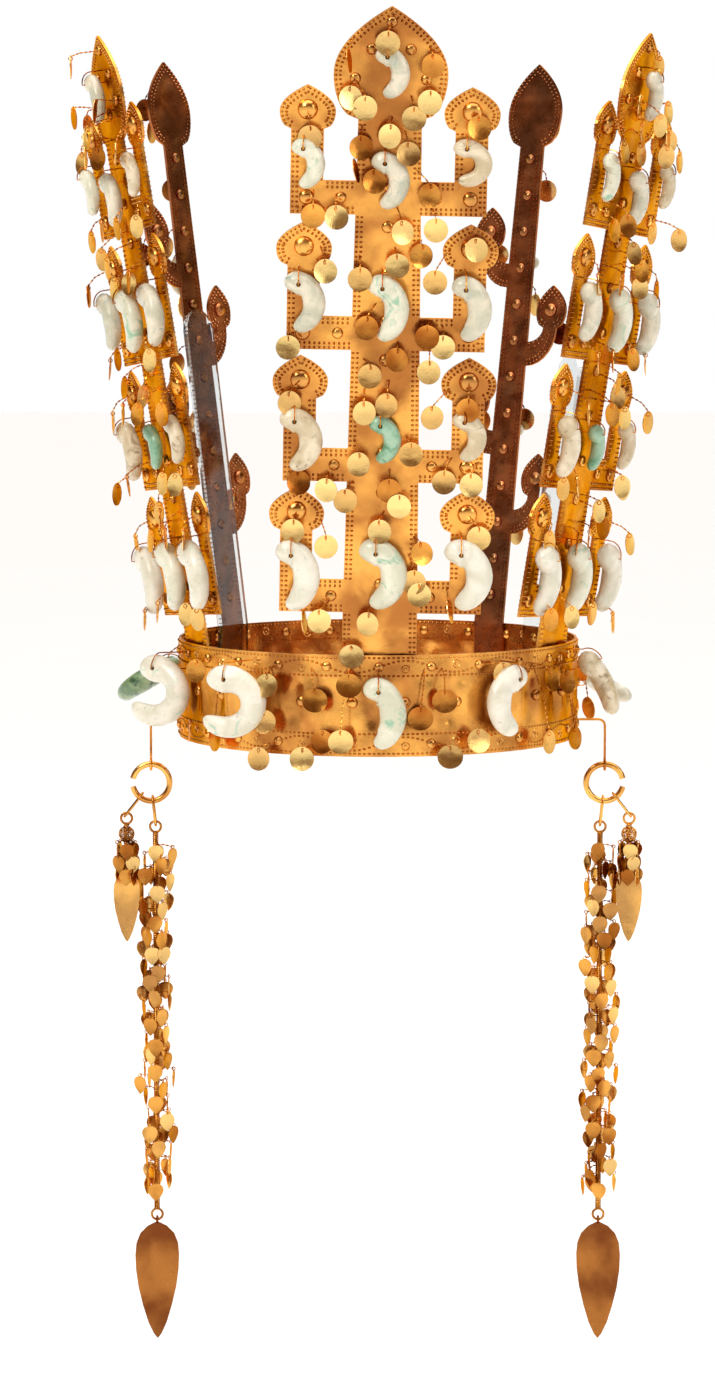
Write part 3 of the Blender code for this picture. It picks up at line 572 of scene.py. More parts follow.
def edge_distance(edge, points):
    """Distance from each point to the nearest point of a dense outline."""
    edge = np.asarray(edge)
    result = np.empty(len(points))
    for start in range(0, len(points), 2000):
        block = points[start:start + 2000]
        gaps = block[:, None, :] - edge[None, :, :]
        result[start:start + 2000] = np.sqrt((gaps ** 2).sum(axis=2).min(axis=1))
    return result


class Plate:
    """A drawn sheet-gold plate: its outline, its soft dents and what is set on it."""

    def __init__(self, outline, place, drop, seed, dent=0.00034):
        self.outline = outline
        self.place = place
        self.drop = drop
        self.seed = seed
        self.dent = dent
        self.fine_edge = densified(outline, FINE_PITCH)
        self.shape = Shape()
        self.gold = Shape()
        self.fill()

    def lift(self, points):
        """Height of the dented sheet at each point, none along its edge."""
        points = np.asarray(points, dtype=float).reshape(-1, 2)
        away = edge_distance(self.fine_edge, points)
        fade = np.clip((away - PLAIN_EDGE) / EDGE_FADE, 0.0, 1.0)
        x, y = points[:, 0], points[:, 1]
        wave = np.sin(x / 0.0044 + self.seed) * np.cos(y / 0.0058 + 2.1 * self.seed)
        wave += 0.6 * np.sin((x + y) / 0.0093 + self.seed) * np.cos((x - 1.4 * y) / 0.0070)
        return fade * self.dent * wave

    def stand(self, points):
        """Drawn points as places in the part, with the foot bent upright."""
        points = np.array(points, dtype=float)
        bend = BEND_ABOVE_RIM + self.drop
        low = points[:, 1] < bend
        up = points[low, 1] - bend
        out = points[low, 2].copy()
        points[low, 1] = bend + up * math.cos(LEAN) + out * math.sin(LEAN)
        points[low, 2] = out * math.cos(LEAN) - up * math.sin(LEAN)
        return moved(points, self.place)

    def fill(self):
        """Fill the outline with a fine grid, front and back, and close its rim."""
        edge = densified(self.outline, GRID_STEP)
        low = np.min(edge, axis=0)
        high = np.max(edge, axis=0)
        columns = np.arange(low[0], high[0], GRID_STEP)
        rows = np.arange(low[1], high[1], GRID_STEP * 0.87)
        spots = []
        for index, y in enumerate(rows):
            shift = GRID_STEP / 2 * (index % 2)
            spots.extend((x + shift, y) for x in columns)
        spots = np.array(spots)
        spots = spots[inside(self.outline, spots)]
        spots = spots[edge_distance(self.fine_edge, spots) > GRID_STEP * 0.55]
        self.inner_spots = spots
        flat = [Vector(point) for point in edge] + [Vector(point) for point in spots.tolist()]
        filled = delaunay_2d_cdt(flat, [], [list(range(len(edge)))], 1, 1e-7)
        points = np.array([tuple(point) for point in filled[0]])
        triangles = [tuple(face) for face in filled[2]]
        lift = self.lift(points)
        front = np.column_stack((points, lift + SHEET / 2))
        back = np.column_stack((points, lift - SHEET / 2))
        count = len(points)
        faces = list(triangles)
        faces.extend(tuple(index + count for index in reversed(face)) for face in triangles)
        used = {}
        for face in triangles:
            for start, end in zip(face, face[1:] + face[:1]):
                used[(start, end)] = used.get((start, end), 0) + 1
        for start, end in used:
            if (end, start) not in used:
                faces.append((end, start, start + count, end + count))
        self.shape.add(self.stand(np.concatenate((front, back))), faces)

    def add(self, points, faces, shade=PLAIN_SHADE):
        """Add goldsmith's work that is given in the drawing."""
        self.gold.add(self.stand(points), faces, shade=shade)

    def dots(self, spots, outer=True, wide=DOT_RADIUS, long=DOT_RADIUS * 1.4):
        """Punched dots; each spot is a place across and up and the edge's angle there."""
        spots = np.asarray(spots, dtype=float)
        sides = 6
        angles = np.arange(sides) * 2 * math.pi / sides
        ring = np.column_stack((np.cos(angles) * wide, np.sin(angles) * long))
        ring = np.concatenate((ring, [[0.0, 0.0]]))
        cos, sin = np.cos(spots[:, 2])[:, None], np.sin(spots[:, 2])[:, None]
        x = spots[:, 0][:, None] + ring[:, 0] * cos - ring[:, 1] * sin
        y = spots[:, 1][:, None] + ring[:, 0] * sin + ring[:, 1] * cos
        rise = np.full(sides + 1, -0.3 * DOT_HEIGHT)
        rise[-1] = DOT_HEIGHT
        base = self.lift(spots[:, :2])[:, None]
        z = base + (SHEET / 2 + rise if outer else -SHEET / 2 - rise)
        points = np.column_stack((x.ravel(), y.ravel(), z.ravel()))
        faces = []
        for start in range(0, len(spots) * (sides + 1), sides + 1):
            fan = fan_faces(start, sides, start + sides)
            faces.extend(fan if outer else [(after, side, top) for side, after, top in fan])
        # Each dot's foot ring is darkened, painted shade, and its top made pale, a painted highlight
        self.add(points, faces, ([PAINTED_SHADOW_TONE] * sides + [1.0]) * len(spots))

    def edge_dots(self, outer=True):
        """The double row of dots just inside the plate's edge."""
        for distance in EDGE_ROWS:
            spots = []
            for spot, along in resampled([(*p, 0.0) for p in self.outline], DOT_PITCH, True):
                if spot.y < 0.001:
                    continue
                x = spot.x - along.y * distance
                y = spot.y + along.x * distance
                spots.append((x, y, math.atan2(along.y, along.x)))
            spots = np.array(spots)
            away = edge_distance(self.fine_edge, spots[:, :2])
            self.dots(spots[away > distance * 0.93], outer)

    def dome(self, across, up, radius, height, outer=True, sides=12, rings=3):
        """A domed boss."""
        points, faces = dome_mesh(radius, height, sides, rings)
        points = np.array(points)
        lift = float(self.lift([(across, up)])[0])
        points[:, 0] += across
        points[:, 1] += up
        if outer:
            points[:, 2] += lift + SHEET / 2
        else:
            points[:, 2] = lift - SHEET / 2 - points[:, 2]
            faces = [tuple(reversed(face)) for face in faces]
        # The boss's foot ring is darkened: painted shade round it
        self.add(points, faces, [PAINTED_SHADOW_TONE] * sides + [DOME_SHADE] * (len(points) - sides))

    def spangle(self, centre, out, root, root_out, turn, tilt, shade):
        """A round spangle that hangs from a loop on a twisted wire."""
        radius = SPANGLE_RADIUS
        hang = Vector((centre[0], centre[1] + radius * SPANGLE_HOLE_SHARE, out))
        base = float(self.lift([root])[0]) + SHEET / 2
        start = Vector((root[0], root[1], base + root_out))
        loop_top = hang + Vector((0, LOOP_RADIUS, 0))
        middle = start.lerp(loop_top, 0.5) + Vector((0, 0.0006, 0.0014))
        self.add(*twisted_wire([start, middle, loop_top], WIRE), WIRE_SHADE)
        points, faces = loop_mesh(LOOP_RADIUS, LOOP_WIRE)
        self.add([tuple(hang + Vector(point)) for point in points], faces, WIRE_SHADE)
        place = Matrix.Translation(hang) @ Matrix.Rotation(turn, 4, "Y")
        place = place @ Matrix.Rotation(-tilt, 4, "X")
        points, faces = disc_mesh(radius, SPANGLE_DISH, SPANGLE_SHEET)
        self.add([tuple(place @ Vector(point)) for point in points], faces, shade)


# Wires, spangles and leaves


def twisted_wire(points, radius):
    """Points and faces of a two-strand wire: a flat section that turns as it goes."""
    track = resampled(points, radius * 1.7)
    rings = []
    for index, (spot, along) in enumerate(track):
        guide = Vector((0.31, 0.17, 0.93))
        across = guide.cross(along).normalized()
        up = along.cross(across)
        for side in range(4):
            angle = index * math.radians(52.0) + side * math.pi / 2
            wide = radius * (1.15 if side % 2 else 0.5)
            rings.append(tuple(spot + (across * math.cos(angle) + up * math.sin(angle)) * wide))
    faces = grid_faces(len(track), 4, closed=True)
    faces.append((3, 2, 1, 0))
    last = len(rings)
    faces.append((last - 4, last - 3, last - 2, last - 1))
    return rings, faces


def loop_mesh(radius, wire, sides=9):
    """A small loop of wire in the plane across a spangle."""
    return tube_mesh([(0.0, y, z) for y, z in circle(sides, radius)], wire, 4, closed=True)


def disc_mesh(radius, dish, sheet, sides=20):
    """A thin dished disc that hangs from a hole near its rim, with the hole at zero."""
    points = []
    faces = []
    for facing in (1, -1):
        start = len(points)
        for share in (1.0, 0.6):
            for cos, sin in circle(sides):
                up = radius * (share * sin - SPANGLE_HOLE_SHARE)
                out = dish * (share ** 2 - 1) + facing * sheet / 2
                points.append((radius * share * cos, up, out))
        points.append((0.0, -radius * SPANGLE_HOLE_SHARE, facing * sheet / 2 - dish))
        for face in grid_faces(2, sides, closed=True) + fan_faces(sides, sides, 2 * sides):
            face = tuple(index + start for index in face)
            faces.append(face if facing > 0 else tuple(reversed(face)))
    back = 2 * sides + 1
    for side in range(sides):
        after = (side + 1) % sides
        faces.append((after, side, back + side, back + after))
    return points, faces


# Comma beads


def bead_point(degrees, height, spread, curl):
    """Point of a bead's centre line at this angle of its bow."""
    angle = math.radians(degrees * curl if degrees < 0 else degrees)
    across = BEAD_BOW_ACROSS * spread * (math.cos(angle) - BEAD_BOW_CENTRE)
    return Vector((across * height, BEAD_BOW_UP * math.sin(angle) * height, 0.0))


def bead_head(height, bow_side, surface, spread=1.0):
    """Centre of the bead's head, where it is drilled."""
    head = bead_point(BEAD_HEAD_DEGREES, height, spread, 1.0)
    up = head.y - (BEAD_BOW_UP + BEAD_HEAD_SHARE) * height
    depth = BEAD_HEAD_SHARE * height * BEAD_FLATTENING
    return Vector((head.x * bow_side, up, surface + STONE_STANDOFF + depth))


# Thickness of a bead along its centre line: share of its length, radius by its height
BEAD_SWELL_AT = (0.0, 0.15, 0.36, 0.55, 0.80, 1.0)
BEAD_SWELL = (0.200, 0.205, 0.178, 0.190, 0.160, 0.125)
BEAD_START = 131.0
BEAD_END = -103.0
HEAD_CAP = 0.17
TAIL_CAP = 0.12


def bead_shape(height, bow_side, surface, spread=1.0, curl=1.0, notches=0, sides=20, rings=34):
    """A smooth comma bead, its top at zero; notches are the fine grooves of its head."""
    middle = Vector((0, -height * (BEAD_BOW_UP + BEAD_HEAD_SHARE), 0))
    middle.z = surface + STONE_STANDOFF + BEAD_HEAD_SHARE * height * BEAD_FLATTENING
    points = []
    for index in range(rings + 1):
        share = (1 - math.cos(math.pi * index / rings)) / 2
        degrees = BEAD_START + (BEAD_END - BEAD_START) * share
        spot = bead_point(degrees, height, spread, curl)
        ahead = bead_point(degrees - 0.5, height, spread, curl)
        along = (ahead - bead_point(degrees + 0.5, height, spread, curl)).normalized()
        across = Vector((-along.y, along.x, 0))
        radius = np.interp(share, BEAD_SWELL_AT, BEAD_SWELL) * height
        radius *= math.sqrt(max(0.0, 1 - max(0.0, 1 - share / HEAD_CAP) ** 2))
        radius *= math.sqrt(max(0.0, 1 - max(0.0, 1 - (1 - share) / TAIL_CAP) ** 2))
        for notch in range(notches):
            gap = (degrees - 62 - 13 * notch) / 2.2
            radius *= 1 - 0.05 * math.exp(-gap * gap)
        radius = max(radius, height * 0.004)
        for cos, sin in circle(sides):
            ring = spot + across * radius * cos
            ring.z += radius * sin * BEAD_FLATTENING
            points.append((middle.x + ring.x * bow_side, middle.y + ring.y, middle.z + ring.z))
    faces = grid_faces(rings + 1, sides, closed=True)
    faces.append(tuple(reversed(range(sides))))
    faces.append(tuple(rings * sides + side for side in range(sides)))
    return points, faces


def hook_mesh(head, height, surface, hang=Matrix.Identity(4)):
    """Gold wire through a bead's drilled head, over its top and back into the plate."""
    root = surface - SHEET / 2
    reach_out = BEAD_HEAD_SHARE * height * BEAD_FLATTENING + HOOK_WIRE * 0.9
    reach_up = BEAD_HEAD_SHARE * height + HOOK_WIRE * 0.9
    route = [(0.0, -reach_out), (0.0, reach_out * 0.8)]
    steps = 8
    for index in range(steps + 1):
        angle = math.pi / 2 * index / steps
        route.append((reach_up * math.sin(angle), reach_out * math.cos(angle)))
    points = [hang @ (head + Vector((0, up, out))) for up, out in route]
    first = Vector((points[0].x, points[0].y, root))
    last = Vector((points[-1].x, points[-1].y, root))
    return tube_mesh([first] + points + [last], HOOK_WIRE * 0.26, 7)


def hang_turn(head, swing, tilt, away):
    """Matrix that swings and tilts a bead about its head and moves it off the wall."""
    turn = Matrix.Rotation(math.radians(-tilt), 4, "X")
    turn = turn @ Matrix.Rotation(math.radians(swing), 4, "Y")
    out = Matrix.Translation(head + Vector((0, 0, away)))
    return out @ turn @ Matrix.Translation(-head)


def bore(node, spot, height):
    """Bore a bead front to back through its head."""
    shape = bmesh.new()
    sizes = {"radius1": BEAD_DRILL / 2, "radius2": BEAD_DRILL / 2, "depth": height * 2}
    bmesh.ops.create_cone(shape, cap_ends=True, segments=14, matrix=spot, **sizes)
    mesh = bpy.data.meshes.new("drill")
    shape.to_mesh(mesh)
    shape.free()
    drill = place_object("drill", mesh)
    cut = node.modifiers.new("bore", "BOOLEAN")
    cut.operation = "DIFFERENCE"
    cut.solver = "EXACT"
    cut.object = drill
    bpy.context.view_layer.update()
    bored = bpy.data.meshes.new_from_object(node.evaluated_get(bpy.context.evaluated_depsgraph_get()))
    node.modifiers.clear()
    node.data = bored
    bpy.data.objects.remove(drill, do_unlink=True)
    mark_edges(bored, 40)


# Band


OVAL_TURNS = np.linspace(0.0, 2 * math.pi, 2881)
OVAL_X = BAND_WIDTH / 2 * np.sin(OVAL_TURNS)
OVAL_Y = -BAND_DEPTH / 2 * np.cos(OVAL_TURNS)
OVAL_LENGTHS = np.concatenate(([0.0], np.cumsum(np.hypot(np.diff(OVAL_X), np.diff(OVAL_Y)))))
PERIMETER = float(OVAL_LENGTHS[-1])
BORDER_LINES = (0.0428, 0.0350, 0.0098, 0.0013)
WAVES = 13
HALF_WAVE = PERIMETER / WAVES / 2
MARK_RADIUS = 0.0017
MARK_WIRE = 0.00026


class Wall(Plate):
    """The band as a drawing: X along its outer face from the front, Y up and Z outward."""

    def __init__(self):
        self.seed = 1.7
        self.dent = 0.00060
        self.shape = Shape()
        self.gold = Shape()
        self.fill()

    def lift(self, points):
        """Height of the fluted middle of the band, none at its borders."""
        points = np.asarray(points, dtype=float).reshape(-1, 2)
        along, up = points[:, 0], points[:, 1]
        turn = along / PERIMETER * 2 * math.pi
        fade = np.clip((up - 0.0110) / 0.0050, 0, 1) * np.clip((0.0340 - up) / 0.0050, 0, 1)
        flutes = np.sin(31 * turn + 1.3 * np.sin(5 * turn)) + 0.5 * np.sin(53 * turn)
        slow = 0.7 * np.sin(9 * turn + 60 * up) * np.cos(4 * turn - 130 * up)
        return fade * self.dent * (flutes + slow)

    def stand(self, points):
        """Drawn points as places in the part."""
        points = np.asarray(points, dtype=float)
        turn = np.interp(points[:, 0] % PERIMETER, OVAL_LENGTHS, OVAL_TURNS)
        across, along = BAND_WIDTH / 2, BAND_DEPTH / 2
        x, y = across * np.sin(turn), -along * np.cos(turn)
        normal = np.column_stack((np.sin(turn) / across, -np.cos(turn) / along))
        normal /= np.linalg.norm(normal, axis=1)[:, None]
        out = points[:, 2] - SHEET / 2
        return np.column_stack((x + normal[:, 0] * out, y + normal[:, 1] * out, points[:, 1]))

    def fill(self):
        """The wall's outer and inner face and its two rims."""
        columns = 448
        rows = 23
        along = np.arange(columns) / columns * PERIMETER
        up = np.linspace(0.0, BAND_HEIGHT, rows)
        grid_up, grid_along = np.meshgrid(up, along, indexing="ij")
        flat = np.column_stack((grid_along.ravel(), grid_up.ravel()))
        lift = self.lift(flat)
        outer = np.column_stack((flat, lift + SHEET / 2))
        inner = np.column_stack((flat, lift * 0.5 - SHEET / 2))
        count = len(flat)
        faces = grid_faces(rows, columns, closed=True)
        faces += [tuple(index + count for index in reversed(face)) for face in faces]
        for row in (0, rows - 1):
            for column in range(columns):
                pair = (row * columns + column, row * columns + (column + 1) % columns)
                rim = (pair[1], pair[0], pair[0] + count, pair[1] + count)
                faces.append(rim if row == 0 else tuple(reversed(rim)))
        self.shape.add(self.stand(np.concatenate((outer, inner))), faces)

    def borders(self, outer):
        """Dotted lines, waves, ring marks and bosses of both borders."""
        count = int(PERIMETER / DOT_PITCH)
        along = np.arange(count) / count * PERIMETER
        flat = np.zeros(count)
        for height in BORDER_LINES:
            self.dots(np.column_stack((along, flat + height, flat + math.pi / 2)), outer)
        for low, high in ((BORDER_LINES[1], BORDER_LINES[0]), (BORDER_LINES[3], BORDER_LINES[2])):
            middle = (low + high) / 2
            swing = (high - low) * 0.34
            turn = along / PERIMETER * 2 * math.pi * WAVES
            wave = middle + swing * np.sin(turn)
            self.dots(np.column_stack((along, wave, flat + math.pi / 2)), outer)
            for index in range(2 * WAVES):
                side = 1 if index % 2 else -1
                spot = HALF_WAVE * (index + 0.5)
                self.ring_mark(spot, middle + side * swing * 0.35, outer)
                self.dome(HALF_WAVE * index, middle, 0.0023, 0.0014, outer, 12, 3)

    def ring_mark(self, along, up, outer):
        """A struck ring with a dot in it."""
        lift = SHEET / 2 if outer else -SHEET / 2
        points = [(along + x, up + y, lift) for x, y in circle(14, MARK_RADIUS)]
        self.add(*tube_mesh(points, MARK_WIRE, 4, closed=True), 0.6)
        self.dome(along, up, 0.0008, 0.0005, outer, 8, 2)


def band_spot(pixel, out):
    """Where the photograph's pixel meets the band at this height over its outer face."""
    ray = photo_ray(pixel).normalized()
    across = BAND_WIDTH / 2 + out
    along = BAND_DEPTH / 2 + out
    a = (ray.x / across) ** 2 + (ray.y / along) ** 2
    b = 2 * (CAMERA_SPOT.x * ray.x / across ** 2 + CAMERA_SPOT.y * ray.y / along ** 2)
    c = (CAMERA_SPOT.x / across) ** 2 + (CAMERA_SPOT.y / along) ** 2 - 1
    depth = (-b - math.sqrt(max(0.0, b * b - 4 * a * c))) / (2 * a)
    spot = CAMERA_SPOT + ray * depth
    turn = math.atan2(spot.x / across, -spot.y / along) % (2 * math.pi)
    return float(np.interp(turn, OVAL_TURNS, OVAL_LENGTHS)), spot.z


# Materials


def start_material(name):
    """A new node material with its node tree and Principled shader."""
    material = bpy.data.materials.new(name)
    material.use_nodes = True
    tree = material.node_tree
    return material, tree, tree.nodes["Principled BSDF"]


def add_node(tree, kind, **inputs):
    """A node with some of its inputs set; underscores stand for spaces."""
    node = tree.nodes.new("ShaderNode" + kind)
    set_inputs(node, **inputs)
    return node


def set_inputs(node, **inputs):
    """Set constants on a node's own sockets; underscores stand for spaces."""
    for key, value in inputs.items():
        node.inputs[key.replace("_", " ")].default_value = value


def add_noise(tree, scale, detail=3.0, roughness=0.55, distortion=0.0):
    """Noise in the object's own space, in bumps per metre."""
    place = tree.nodes.get("place")
    if place is None:
        place = add_node(tree, "TexCoord")
        place.name = "place"
    noise = add_node(
        tree, "TexNoise", Scale=scale, Detail=detail, Roughness=roughness, Distortion=distortion
    )
    tree.links.new(place.outputs["Object"], noise.inputs["Vector"])
    return noise.outputs["Fac"]


def add_range(tree, value, low, high, to_low=0.0, to_high=1.0, smooth=False):
    """Stretch a value from one range to another and clamp it."""
    node = add_node(tree, "MapRange", From_Min=low, From_Max=high, To_Min=to_low, To_Max=to_high)
    if smooth:
        node.interpolation_type = "SMOOTHSTEP"
    tree.links.new(value, node.inputs["Value"])
    return node.outputs["Result"]


def add_blend(tree, factor, first, second):
    """Blend two colours; each is a colour or the output of another node."""
    node = add_node(tree, "Mix")
    node.data_type = "RGBA"
    tree.links.new(factor, node.inputs["Factor"])
    for key, value in (("A", first), ("B", second)):
        socket = [item for item in node.inputs if item.name == key and item.type == "RGBA"][0]
        if isinstance(value, tuple):
            socket.default_value = (*value, 1.0)
        else:
            tree.links.new(value, socket)
    return [item for item in node.outputs if item.type == "RGBA"][0]


def add_bump(tree, shader, layers):
    """Chain bumps; each layer is a height output, its depth in metres and its strength."""
    last = None
    for height, depth, strength in layers:
        bump = add_node(tree, "Bump", Distance=depth, Strength=strength)
        tree.links.new(height, bump.inputs["Height"])
        if last is not None:
            tree.links.new(last, bump.inputs["Normal"])
        last = bump.outputs["Normal"]
    tree.links.new(last, shader.inputs["Normal"])


GOLD_PALE = (1.0, 0.72, 0.27)
FLECK = (0.26, 0.15, 0.07)


def gold_material(name, deep, bright, rough_low, rough_high, dents):
    """Hand-worked gold: blotchy colour, a tone for each leaf, stains, painted shade round dots and
    bosses, painted highlights on dot tops, fine scratches and dents.
    """
    material, tree, shader = start_material(name)
    blotches = add_range(tree, add_noise(tree, 42.0, 3.0, 0.5, 0.3), 0.34, 0.64, smooth=True)
    colour = add_blend(tree, blotches, deep, bright)
    tone = add_node(tree, "Attribute")
    tone.attribute_name = "shade"
    # Tones from 0.45 to 1 turn paler: the tone of each leaf, and the painted highlight on each dot's top
    paleness = add_range(tree, tone.outputs["Fac"], 0.45, 1.0, 0.0, 0.9)
    colour = add_blend(tree, paleness, colour, GOLD_PALE)
    stains = add_range(tree, add_noise(tree, 190.0, 4.0, 0.6, 0.5), 0.62, 0.78, 0.0, 0.35)
    # Dark colour for the stains and for the painted shade round dots and bosses
    grime_and_shade_colour = (deep[0] * 0.45, deep[1] * 0.4, deep[2] * 0.4)
    colour = add_blend(tree, stains, colour, grime_and_shade_colour)
    # Low tones, at the foot of dots and bosses, are darkened: painted shade
    grooves = add_range(tree, tone.outputs["Fac"], -0.05, 0.30, 0.85, 0.0)
    colour = add_blend(tree, grooves, colour, grime_and_shade_colour)
    tree.links.new(colour, shader.inputs["Base Color"])
    rough = add_range(tree, add_noise(tree, 130.0, 4.0, 0.6), 0.3, 0.7, rough_low, rough_high)
    tree.links.new(rough, shader.inputs["Roughness"])
    set_inputs(shader, Metallic=1.0, Specular_Tint=(0.90, 0.50, 0.20, 1.0))
    layers = [
        (add_noise(tree, 70.0, 1.5), 0.0024, dents),
        (add_noise(tree, 700.0, 3.0), 0.00016, 0.30),
    ]
    add_bump(tree, shader, layers)
    return material


def jade_material(name, body, cloud, vein, vein_low, coat):
    """Polished stone: cloudy body, coloured veins, small brown flecks and a soft depth."""
    material, tree, shader = start_material(name)
    clouds = add_range(tree, add_noise(tree, 95.0, 4.0, 0.55, 0.6), 0.35, 0.68, smooth=True)
    colour = add_blend(tree, clouds, body, cloud)
    veins = add_noise(tree, 120.0, 5.0, 0.62, 1.4)
    veins = add_range(tree, veins, vein_low, vein_low + 0.11, 0.0, 0.9, smooth=True)
    colour = add_blend(tree, veins, colour, vein)
    flecks = add_range(tree, add_noise(tree, 420.0, 3.0, 0.7, 0.5), 0.66, 0.74, 0.0, 0.7)
    colour = add_blend(tree, flecks, colour, FLECK)
    tree.links.new(colour, shader.inputs["Base Color"])
    rough = add_range(tree, add_noise(tree, 260.0, 4.0), 0.3, 0.7, 0.24, 0.44)
    tree.links.new(rough, shader.inputs["Roughness"])
    set_inputs(shader, Subsurface_Weight=0.25, Subsurface_Scale=0.0018)
    set_inputs(shader, Subsurface_Radius=(1.0, 0.9, 0.7))
    set_inputs(shader, IOR=1.6, Coat_Weight=coat, Coat_Roughness=0.18)
    layers = [
        (add_noise(tree, 160.0, 3.0), 0.0012, 0.30),
        (add_noise(tree, 1300.0, 3.0), 0.00018, 0.30),
    ]
    add_bump(tree, shader, layers)
    return material


def clear_material():
    """Clear acrylic with faint scuffs."""
    material, tree, shader = start_material("clear_acrylic")
    tint = add_range(tree, add_noise(tree, 30.0, 2.0), 0.3, 0.7)
    colour = add_blend(tree, tint, (0.78, 0.82, 0.82), (0.88, 0.91, 0.91))
    tree.links.new(colour, shader.inputs["Base Color"])
    rough = add_range(tree, add_noise(tree, 220.0, 5.0), 0.45, 0.75, 0.04, 0.22)
    tree.links.new(rough, shader.inputs["Roughness"])
    set_inputs(shader, IOR=1.49, Transmission_Weight=1.0)
    add_bump(tree, shader, [(add_noise(tree, 45.0, 2.0), 0.0006, 0.2)])
    return material


# Deep and bright colour, least and most roughness, and strength of the dents
GOLDS = {
    "sheet_gold": ((0.38, 0.11, 0.015), (0.84, 0.38, 0.07), 0.16, 0.32, 0.42),
    # The antlers' gold is a darker copy of the sheet gold: painted shade for their inner faces, which
    # face away from the light
    "shaded_antler_gold": ((0.13, 0.02, 0.012), (0.40, 0.095, 0.032), 0.2, 0.36, 0.3),
    "leaf_gold": ((0.32, 0.10, 0.015), (0.76, 0.36, 0.07), 0.2, 0.36, 0.25),
    "large_leaf_gold": ((0.18, 0.05, 0.013), (0.40, 0.15, 0.034), 0.2, 0.34, 0.2),
    "rod_gold": ((0.50, 0.19, 0.03), (0.90, 0.50, 0.12), 0.14, 0.28, 0.18),
}
# Colour of the body, clouds and veins, where the veins begin, and the coat
STONES = {
    "white_jade": ((0.66, 0.63, 0.49), (0.82, 0.78, 0.66), (0.40, 0.56, 0.42), 0.60, 0.3),
    "cream_jade": ((0.55, 0.44, 0.26), (0.78, 0.68, 0.49), (0.34, 0.24, 0.13), 0.56, 0.2),
    "blue_jade": ((0.50, 0.49, 0.36), (0.76, 0.69, 0.53), (0.30, 0.39, 0.33), 0.59, 0.3),
    "mottled_jade": ((0.62, 0.61, 0.45), (0.78, 0.76, 0.61), (0.26, 0.50, 0.32), 0.56, 0.3),
    "green_jade": ((0.17, 0.38, 0.22), (0.36, 0.55, 0.38), (0.08, 0.28, 0.13), 0.55, 0.4),
    "dark_mottled_jade": ((0.05, 0.14, 0.05), (0.28, 0.38, 0.18), (0.02, 0.08, 0.03), 0.50, 0.4),
}
golds = {name: gold_material(name, *values) for name, values in GOLDS.items()}
stones = {name: jade_material(name, *values) for name, values in STONES.items()}
clear = clear_material()
gold = golds["sheet_gold"]


# Trees


# Spangles of the front tree and the band: the middle of each in the photograph's pixels
FRONT_SPANGLES = (
    (388, 43), (433, 66), (430, 102), (350, 98), (365, 108), (414, 119), (390, 136),
    (361, 148), (408, 154), (430, 196), (310, 138), (479, 128), (313, 216), (336, 217),
    (374, 182), (402, 232), (436, 231), (422, 256), (397, 266), (325, 271), (360, 279),
    (476, 250), (435, 282), (367, 328), (427, 337), (443, 348), (288, 348), (397, 360),
    (370, 377), (429, 372), (387, 405), (289, 403), (364, 413), (432, 418), (468, 410),
    (411, 454), (359, 464), (444, 483), (471, 486), (298, 483), (326, 490), (389, 491),
    (345, 501), (399, 506), (293, 531), (379, 531), (479, 539), (326, 547), (421, 553),
    (414, 582), (419, 594), (319, 621), (368, 624),
)
FRONT_EDGE_ON = ((354, 171), (348, 61), (448, 612), (303, 622))
BAND_SPANGLES = (
    (267, 686), (263, 722), (314, 701), (349, 686), (351, 657), (258, 759), (303, 759),
    (341, 742), (322, 742), (212, 740), (192, 730), (196, 671), (444, 701), (421, 719),
    (478, 741), (450, 757), (504, 674), (547, 680), (547, 742), (573, 738), (570, 682),
)

TREE_BEADS = (
    ("a_left", 0, -1, 1.00, 0.87, "white_jade"),
    ("a_centre", 0, 0, 1.00, 0.93, "mottled_jade"),
    ("a_right", 0, 1, 1.00, 0.94, "white_jade"),
    ("b_left", 1, -1, 0.88, 0.86, "cream_jade"),
    ("b_centre", 1, 0, 0.66, 0.72, "green_jade"),
    ("b_right", 1, 1, 0.70, 0.84, "cream_jade"),
    ("c_left", 2, -1, 0.84, 0.93, "blue_jade"),
    ("c_centre", 2, 0, 0.92, 0.90, "mottled_jade"),
    ("c_right", 2, 1, 0.90, 0.90, "blue_jade"),
    ("d_left", 3, -1, 0.68, 0.85, "mottled_jade"),
    ("d_centre", 3, 0, 0.78, 0.62, "blue_jade"),
    ("d_right", 3, 1, 0.64, 0.89, "cream_jade"),
)
TOP_BEAD_SHARE = 0.70
TOP_BEAD_RISE = 0.66
BEAD_BOWS = {
    "a_left": (0.85, 1.0),
    "c_centre": (0.85, 1.0),
    "c_right": (0.85, 1.0),
    "d_right": (1.40, 1.1),
    "centre": (0.80, 1.0),
    "left_front": (1.50, 1.4),
    "left_side": (1.50, 1.4),
}
chance = random.Random(11)


def tree_bead_spots():
    """Each bead of a tree: name, place across, top, height and stone."""
    spots = []
    for name, level, side, size, rise, stone in TREE_BEADS:
        top = BAR_FOOTS[level] + BAR_HEIGHT + POST_HEIGHT * rise
        spots.append((name, post_centre(level) * side, top, BEAD_HEIGHT * size, stone))
    top = TREE_NECK + TOP_BUD_HEIGHT * TOP_BEAD_RISE
    spots.append(("top", 0.0, top, BEAD_HEIGHT * TOP_BEAD_SHARE, "blue_jade"))
    return spots


